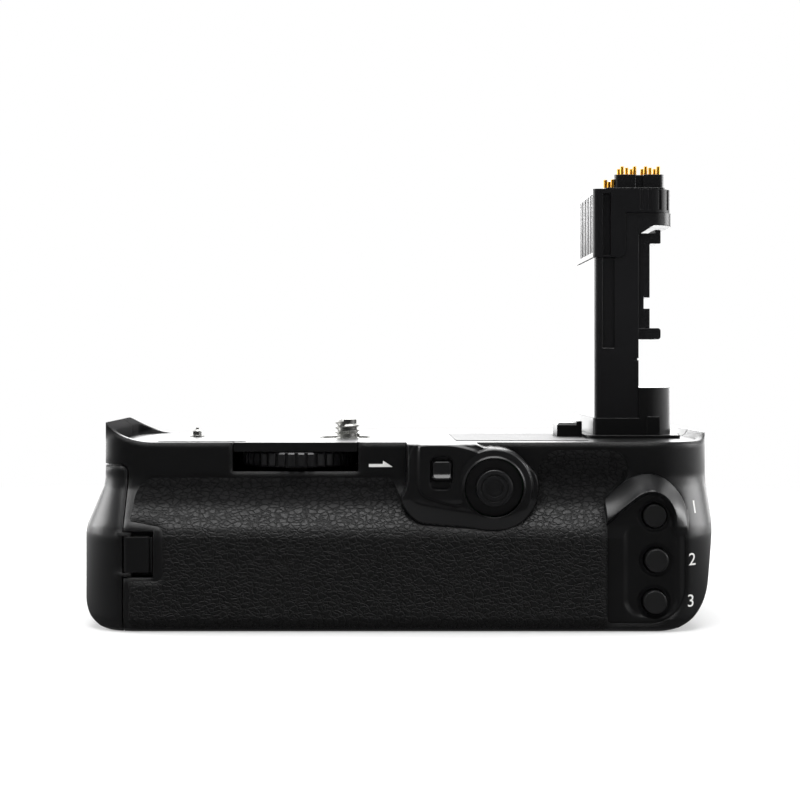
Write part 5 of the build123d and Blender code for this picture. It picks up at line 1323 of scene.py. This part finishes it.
@dataclass
class ThumbPanel(Assembly):
    """Panel of the three thumb buttons: a hood swept over the top one, a soft pocket round the lower two."""

    sides: Tablet = (60.75, 80.4, 1.6, 36.9)
    pitch: float = 0.2
    thickness: float = 1.3
    body_rear: float = -34.0
    body_lean: float = 8.0
    crease_z: float = 22.0
    crease_soft: float = 2.5
    shoulder_z: float = 35.0
    corner_x: float = 72.0
    corner_r: float = 16.0
    corner_drift: float = 3.0  # how the body's corner moves and tightens up to the shoulder
    corner_loss: float = 5.0
    heel_z: float = 3.0
    heel_fall: float = 2.2
    ridge: Outline = (
        (58.5, -20.0), (76.0, -20.0), (76.0, 22.0), (76.9, 25.5), (76.6, 27.9), (75.7, 30.0), (74.0, 31.8),
        (71.9, 32.7), (69.6, 32.5), (67.3, 31.2), (63.1, 27.7), (58.5, 23.8),
    )
    ridge_y: float = -33.75
    hood_reach: float = 3.4
    hood_foot: float = 0.45
    hood_curve: float = 0.8
    hood_rise: float = 0.45  # above the body
    hood_sink: float = 0.6  # of its foot into the body
    hood_floor_y: float = -32.2
    base_y: float = -33.0
    base_sink: float = 0.2
    base_high: float = 21.4
    floor_low: float = 25.0
    dish_radius: float = 4.0
    dish_fall: float = 0.4
    dish_soft: float = 0.6
    corner: float = 7.0
    wall: float = 1.1
    pocket: Tablet = (64.4, 77.7, 2.9, 26.0)
    pocket_corner: float = 4.6
    pocket_y: float = -32.25
    pocket_edge: float = 1.5
    rim: float = 1.0
    rim_sink: float = 0.5
    holes: Outline = ((71.9, 26.8), (72.2, 16.5), (71.8, 6.9))
    hole_radius: float = 3.0
    bore_depth: float = 9.0
    bore_y: float = -31.0
    bore_sides: int = 48
    far: float = 100.0

    def body_y(self, across: float, up: float) -> float:
        """Depth of the body's rear surface under the panel.

        Args:
            across: place in millimetres.
            up: height in millimetres.

        Returns:
            Its depth in millimetres.
        """
        share = ease((up - self.crease_z) / (self.shoulder_z - self.crease_z))
        depth = self.body_rear + self.body_lean * share
        beyond = across - self.corner_x - self.corner_drift * share
        radius = self.corner_r - self.corner_loss * share
        if beyond > 0:
            depth += radius - math.sqrt(max(radius * radius - beyond * beyond, 0.0))
        if up < self.heel_z:
            depth += self.heel_fall * ((self.heel_z - up) / self.heel_z) ** 2
        return depth

    def dished(self, across: float, up: float) -> float:
        """How far the surface falls back round the nearest button."""
        off_button = min(math.hypot(across - x, up - z) for x, z in self.holes)
        return self.dish_fall * ease((self.dish_radius - off_button) / self.dish_soft)

    def depth(self, place: Vector) -> Optional[float]:
        """Depth of the panel's surface at one place.

        Args:
            place: across and up, in millimetres.

        Returns:
            The depth in millimetres, or None outside the panel.
        """
        across, up = place
        _left, right, low, _high = self.sides
        body = self.body_y(across, up)
        if off_tablet(place, (-self.far, right, low, self.far), self.corner) > 0:
            return None
        off = off_outline(place, self.ridge)
        upper = ease((up - self.crease_z) / self.crease_soft)
        sunk = off_tablet(place, self.pocket, self.pocket_corner)
        if off < 0:
            rise = ease((up - self.base_high) / (self.floor_low - self.base_high))
            floor = between(max(self.base_y, body + self.base_sink), self.hood_floor_y, rise)
            crest = between(floor, self.ridge_y, upper)
            inside = between(crest, floor, ease(-off / self.wall))
            if across > self.pocket[0] and up < self.pocket[3]:
                inside = between(inside, max(inside, self.pocket_y), ease(-sunk / self.pocket_edge))
            return inside + self.dished(across, up)
        rest = between(max(body + self.base_sink, self.base_y), body - self.hood_rise, upper)
        share = min(off / self.hood_reach, 1.0)
        crest = between(rest, self.ridge_y, upper)
        surface = between(crest, rest, share**self.hood_curve * upper + ease(share) * (1 - upper))
        if off > self.hood_reach + self.hood_foot and upper == 1.0:
            return None
        if off > self.hood_reach and upper > 0:
            share = ease((off - self.hood_reach) / self.hood_foot) * upper
            surface = between(rest, body + self.hood_sink, share)
        if sunk < 0:
            surface = between(surface, self.pocket_y, ease(-sunk / self.pocket_edge))
            surface += self.dished(across, up)
        for edge in (right - across, up - low):
            if edge < self.rim:
                surface = between(body + self.rim_sink, surface, ease(edge / self.rim))
        return surface

    def build(self) -> None:
        """Shapes the panel and bores the three holes."""
        self.ridge = softened(self.ridge)
        piece = relief("thumb_hood", self.sides, self.pitch, self.depth, self.thickness)
        for across, up in self.holes:
            middle = (across, self.bore_y, up)
            carve(piece, cylinder("bore", self.hole_radius, self.bore_depth, middle, FACING, self.bore_sides))
        smooth(piece, 40)
        self.finish_piece(piece, Body.GRIP, "body_plastic", None, "thumb_panel")


# ---------------------------------------------------------------- tower head


@dataclass
class TowerHead(Assembly):
    """Head of the tower with thin ribs down its left face and flutes round its right end, over a slit shank."""

    left: float = 61.55
    rib_pitch: float = 2.9
    rib_first: float = -2.75
    rib_total: int = 8
    gap: float = 1.9
    gap_depth: float = 0.7
    low: float = 89.9
    high: float = 104.6
    flutes: Outline = ((73.6, -5.55), (75.6, -5.5), (78.3, -4.7), (80.3, -2.9))
    flute_radius: float = 0.42
    flute_low: float = 100.6
    flute_length: float = 8.0
    flute_sides: int = 20
    slit_size: Point = (2.4, 3.0, 0.5)
    slit_middle: Point = (72.9, -4.6, 63.2)

    def build(self) -> None:
        """Widens the gaps between the ribs, cuts the flutes and slits the shank."""
        head = copy_node(self.frame["nodes"]["tower_head"], "fluted_head")
        for index in range(self.rib_total):
            size = (2 * self.gap_depth, self.gap, self.high - self.low)
            middle = (self.left, self.rib_first + index * self.rib_pitch, (self.high + self.low) / 2)
            carve(head, block("gap", size, middle))
        for across, depth in self.flutes:
            middle = (across, depth, self.flute_low + self.flute_length / 2)
            flute = cylinder("flute", self.flute_radius, self.flute_length, middle, UPRIGHT, self.flute_sides)
            carve(head, flute)
        smooth(head, 30)
        self.finish_piece(head, Body.GRIP, "head_plastic", "ribbed_plastic", "tower_head")
        shank = copy_node(self.frame["nodes"]["tower_frame"], "slit_shank")
        carve(shank, block("slit", self.slit_size, self.slit_middle))
        smooth(shank, 30)
        self.finish_piece(shank, Body.GRIP, "head_plastic", None, "tower_frame")


# ---------------------------------------------------------------- printed marks


@dataclass
class PrintedMarks(Assembly):
    """Plain arrow beside the wheel, and a number beside each thumb button."""

    ink_mm: float = 0.05
    ink_off: float = 0.02
    start_y: float = -80.0  # well behind the grip
    arrow_left: float = 5.6
    arrow_barb: float = 8.9
    arrow_right: float = 11.1
    arrow_low: float = 37.7
    arrow_shaft: float = 38.4
    arrow_high: float = 39.2
    arrow_tip: float = 0.1
    arrow_columns: int = 44
    number_x: Point = (82.3, 80.8, 80.4)
    number_y: float = -60.0
    number_z: Point = (28.2, 16.5, 6.9)
    number_size: float = 4.05
    number_merge: float = 0.002

    def drape(self, piece: Piece, carriers: Sequence[Piece]) -> None:
        """Presses flat print onto the curved surface behind it.

        Args:
            piece: flat print that faces the operator.
            carriers: pieces that carry it.
        """
        for vertex in piece.data.vertices:
            start = Vector((vertex.co.x, self.start_y * MM, vertex.co.z))
            hits = [carrier.ray_cast(start, Vector((0, 1, 0))) for carrier in carriers]
            depths = [place.y for hit, place, _normal, _index in hits if hit]
            if depths:
                vertex.co.y = min(depths) - self.ink_off * MM
        edit_all(piece)
        bpy.ops.mesh.extrude_region_move(TRANSFORM_OT_translate={"value": (0, -self.ink_mm * MM, 0)})
        close_outwards()

    def arrow(self) -> None:
        """Half arrow that points the way the wheel is turned."""
        deselect()
        length = self.arrow_right - self.arrow_left
        bpy.ops.mesh.primitive_grid_add(
            x_subdivisions=self.arrow_columns,
            y_subdivisions=1,
            size=1.0,
            location=((self.arrow_left + length / 2) * MM, self.number_y * MM, self.arrow_low * MM),
            rotation=FACING,
        )
        piece = named("wheel_arrow")
        piece.scale = Vector((length, 1.0, 1.0)) * MM
        apply_place()
        for vertex in piece.data.vertices:
            along = vertex.co.x / MM
            top = self.arrow_shaft
            if along > self.arrow_barb:
                share = (along - self.arrow_barb) / (self.arrow_right - self.arrow_barb)
                top = between(self.arrow_high, self.arrow_low + self.arrow_tip, share)
            vertex.co.z = (top if vertex.co.z / MM > self.arrow_low else self.arrow_low) * MM
        self.drape(piece, [self.frame["nodes"]["rear_cover"]])
        self.finish_piece(piece, Body.GRIP, "body_plastic", "print")

    def number(self, index: int) -> None:
        """Prints one plain numeral beside a button.

        Args:
            index: which button, counted from the top.
        """
        deselect()
        bpy.ops.object.text_add(rotation=FACING)
        text = bpy.context.object
        text.data.body = str(index + 1)
        text.data.align_x = "CENTER"
        text.data.align_y = "CENTER"
        text.data.size = self.number_size * MM
        text.location = Vector((self.number_x[index], self.number_y, self.number_z[index])) * MM
        text.name = f"button_number_{index + 1}"
        bpy.ops.object.convert(target="MESH")
        piece = bpy.context.object
        apply_place()
        edit_all(piece)
        bpy.ops.mesh.remove_doubles(threshold=self.number_merge * MM)
        bpy.ops.object.mode_set(mode="OBJECT")
        self.drape(piece, [self.frame["nodes"]["rear_cover"], bpy.data.objects["thumb_hood"]])
        self.finish_piece(piece, Body.GRIP, "body_plastic", "print")

    def build(self) -> None:
        """Prints the arrow and the three numbers."""
        self.arrow()
        for index in range(3):
            self.number(index)


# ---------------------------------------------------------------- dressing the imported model


@dataclass
class PackedModel(Assembly):
    """The nodes whose shape is right as packed: each gets the finish of its slot."""

    def build(self) -> None:
        """Dresses every node by the record's slot."""
        for row in self.frame["record"]["subparts"]:
            node = self.frame["nodes"][row["node"]]
            swept = row["node"] in SWEPT_NODES
            self.palette.dress(node, "swept_plastic" if swept else row["material_slot"])
        log.info("dressed %d nodes", len(self.frame["nodes"]))


# ---------------------------------------------------------------- studio


@dataclass
class Studio:
    """White table, soft lights and the camera of the photograph."""

    camera_place: Point = (7.75, -380.0, 62.0)
    lens: float = 67.5
    sensor: float = 36.0
    shift_x: float = 0.0275
    shift_y: float = -0.045
    clip: Span = (0.01, 100.0)  # in metres
    floor_size: float = 20000.0
    paper_span: Span = (170.0, 420.0)  # the paper shows shadow up to here
    glow: float = 1.0
    glow_near: float = 0.35
    bright_way: Point = (0.0, 0.45, 0.9)
    room_span: Span = (0.46, 0.85)
    room_dark: float = 0.1
    room_bright: float = 1.2
    room_soft: float = 0.4
    crown_span: Span = (0.94, 0.99)
    crown_light: float = 3.0
    panel_span: Span = (0.6, 0.9)  # a long, low light panel stands far behind the grip
    panel_height: Span = (0.12, 0.2)
    panel_light: float = 3.6
    table_light: Span = (0.02, 0.7)
    table_front: Span = (-120.0, 260.0)  # the table's painted glow in reflections rises across this span, dim at its near end
    table_far: Span = (450.0, 1100.0)
    side_span: Span = (0.6, 0.97)
    right_light: float = 1.3
    left_light: float = 0.6

    def floor(self) -> None:
        """Pale matte table: paper with the grip's shadow near it, plain white further off, and in reflections a
        painted glow that is dim at its near end and bright far off.
        """
        deselect()
        bpy.ops.mesh.primitive_grid_add(x_subdivisions=4, y_subdivisions=4, size=self.floor_size * MM)
        floor = bpy.context.object
        floor.name = "table"
        material, tree, place = new_material("white_paper")
        white = linear("ffffff")
        reach = add_node(tree, "ShaderNodeVectorMath", {"operation": "LENGTH", 0: place})
        along = add_node(tree, "ShaderNodeSeparateXYZ", {0: place}).outputs[1]
        far, near, beyond = (
            add_node(tree, "ShaderNodeMapRange", eased(source, (span[0] * MM, span[1] * MM), values))
            for source, span, values in (
                (reach.outputs["Value"], self.paper_span, (self.glow_near, 1.0)),
                (along, self.table_front, self.table_light),
                (along, self.table_far, (0.0, self.panel_light)),
            )
        )
        ray = add_node(tree, "ShaderNodeLightPath").outputs
        paper = add_node(tree, "ShaderNodeBsdfDiffuse", {"Color": linear("f4f4f4")})
        glow = add_node(tree, "ShaderNodeEmission", {"Color": white, "Strength": self.glow})
        shown = {"operation": "MULTIPLY", 0: ray["Is Camera Ray"], 1: far}
        share = add_node(tree, "ShaderNodeMath", shown)
        seen = add_node(tree, "ShaderNodeMixShader", {0: share, 1: paper, 2: glow})
        # painted light: in reflections the table glows, dim at its near end and as bright as the light panel
        # far behind
        level = add_node(tree, "ShaderNodeMath", {"operation": "ADD", 0: near, 1: beyond})
        mirrored = add_node(tree, "ShaderNodeEmission", {"Color": white, "Strength": level})
        mix = add_node(tree, "ShaderNodeMixShader", {0: ray["Is Glossy Ray"], 1: seen, 2: mirrored})
        add_node(tree, "ShaderNodeOutputMaterial", {0: mix})
        floor.data.materials.append(material)
        floor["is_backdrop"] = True

    def world(self) -> None:
        """White room whose near end is dark, so that glossy faces towards the operator stay black."""
        world = bpy.data.worlds.new("white_room")
        bpy.context.scene.world = world
        world.use_nodes = True
        tree = world.node_tree
        tree.nodes.clear()
        way = add_node(tree, "ShaderNodeTexCoord").outputs["Generated"]
        dot = {"operation": "DOT_PRODUCT", 0: way, 1: self.bright_way}
        tilt = add_node(tree, "ShaderNodeVectorMath", dot).outputs["Value"]
        parts = add_node(tree, "ShaderNodeSeparateXYZ", {0: way}).outputs
        height = add_node(tree, "ShaderNodeMath", {"operation": "ABSOLUTE", 0: parts[2]}).outputs[0]
        right, left = (
            add_node(tree, "ShaderNodeMath", {"operation": "MULTIPLY", 0: parts[0], 1: side}).outputs[0]
            for side in (1.0, -1.0)
        )
        room, crown, behind, low, right_glow, left_glow = (
            add_node(tree, "ShaderNodeMapRange", eased(source, span, values))
            for source, span, values in (
                (tilt, self.room_span, (self.room_dark, self.room_bright)),
                (tilt, self.crown_span, (0.0, self.crown_light)),
                (parts[1], self.panel_span, (0.0, self.panel_light)),
                (height, self.panel_height, (1.0, 0.0)),
                (right, self.side_span, (0.0, self.right_light)),
                (left, self.side_span, (0.0, self.left_light)),
            )
        )
        room = add_node(tree, "ShaderNodeMath", {"operation": "ADD", 0: room, 1: crown})
        bright = add_node(tree, "ShaderNodeMath", {"operation": "MULTIPLY_ADD", 0: behind, 1: low, 2: room})
        for glow in (right_glow, left_glow):
            bright = add_node(tree, "ShaderNodeMath", {"operation": "ADD", 0: bright, 1: glow})
        ray = add_node(tree, "ShaderNodeLightPath").outputs
        either = {"operation": "MAXIMUM", 0: ray["Is Glossy Ray"], 1: ray["Is Transmission Ray"]}
        polished = add_node(tree, "ShaderNodeMath", either)
        soft = {"data_type": "FLOAT", 0: polished, 2: self.room_soft, 3: bright}
        dim = add_node(tree, "ShaderNodeMix", soft)
        plain = {"data_type": "FLOAT", 0: ray["Is Camera Ray"], 2: dim, 3: 1.0}
        level = add_node(tree, "ShaderNodeMix", plain)
        light = add_node(tree, "ShaderNodeBackground", {"Color": linear("ffffff"), "Strength": level})
        add_node(tree, "ShaderNodeOutputWorld", {0: light})

    def lamp(self, name: str, place: Point, aim: Point, size: float, energy: float) -> None:
        """Hangs one soft box.

        Args:
            name: the lamp's name.
            place: where it hangs, in millimetres.
            aim: what it points at, in millimetres.
            size: its side in millimetres.
            energy: its power in watts.
        """
        deselect()
        bpy.ops.object.light_add(type="AREA", location=Vector(place) * MM)
        lamp = bpy.context.object
        lamp.name = name
        lamp.data.size = size * MM
        lamp.data.energy = energy
        lamp.rotation_euler = (Vector(aim) - Vector(place)).to_track_quat("-Z", "Y").to_euler()

    def camera(self) -> None:
        """The photograph's camera: level, a little above the deck."""
        deselect()
        bpy.ops.object.camera_add(location=Vector(self.camera_place) * MM, rotation=FACING)
        camera = bpy.context.object
        camera.name = "photo_camera"
        camera.data.lens = self.lens
        camera.data.sensor_width = self.sensor
        camera.data.shift_x = self.shift_x
        camera.data.shift_y = self.shift_y
        camera.data.clip_start, camera.data.clip_end = self.clip
        bpy.context.scene.camera = camera

    def build(self) -> None:
        """Sets up the whole studio."""
        bpy.context.scene.view_settings.view_transform = "Standard"
        self.floor()
        self.world()
        self.lamp("overhead_box", (0, -60, 900), (10, 0, 30), 800, 9)
        self.lamp("left_box", (-800, 250, 350), (0, 0, 40), 500, 6)
        self.lamp("right_box", (800, 150, 350), (0, 0, 40), 450, 4)
        self.lamp("back_box", (0, 900, 500), (0, 0, 60), 700, 6)
        self.camera()


# Every sub-assembly, in the order in which it is made
ASSEMBLIES = (
    PackedModel,
    Threads,
    ContactPins,
    Joystick,
    LatchGrip,
    Deck,
    Plinth,
    ThumbPanel,
    TowerHead,
    PrintedMarks,
)


def corners(box: Tuple[Vector, Vector]) -> List[List[float]]:
    """A box as plain lists of numbers."""
    return [list(corner) for corner in box]


def main() -> None:
    """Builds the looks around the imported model."""
    logging.basicConfig(level=logging.INFO, format="%(name)s: %(message)s")
    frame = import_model()
    packed_box = corners(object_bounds())
    palette = Palette()
    Studio().build()
    for assembly in ASSEMBLIES:
        assembly(frame, palette).build()
    {"cad": packed_box, "visual": corners(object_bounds())}


if __name__ == "__main__":
    main()
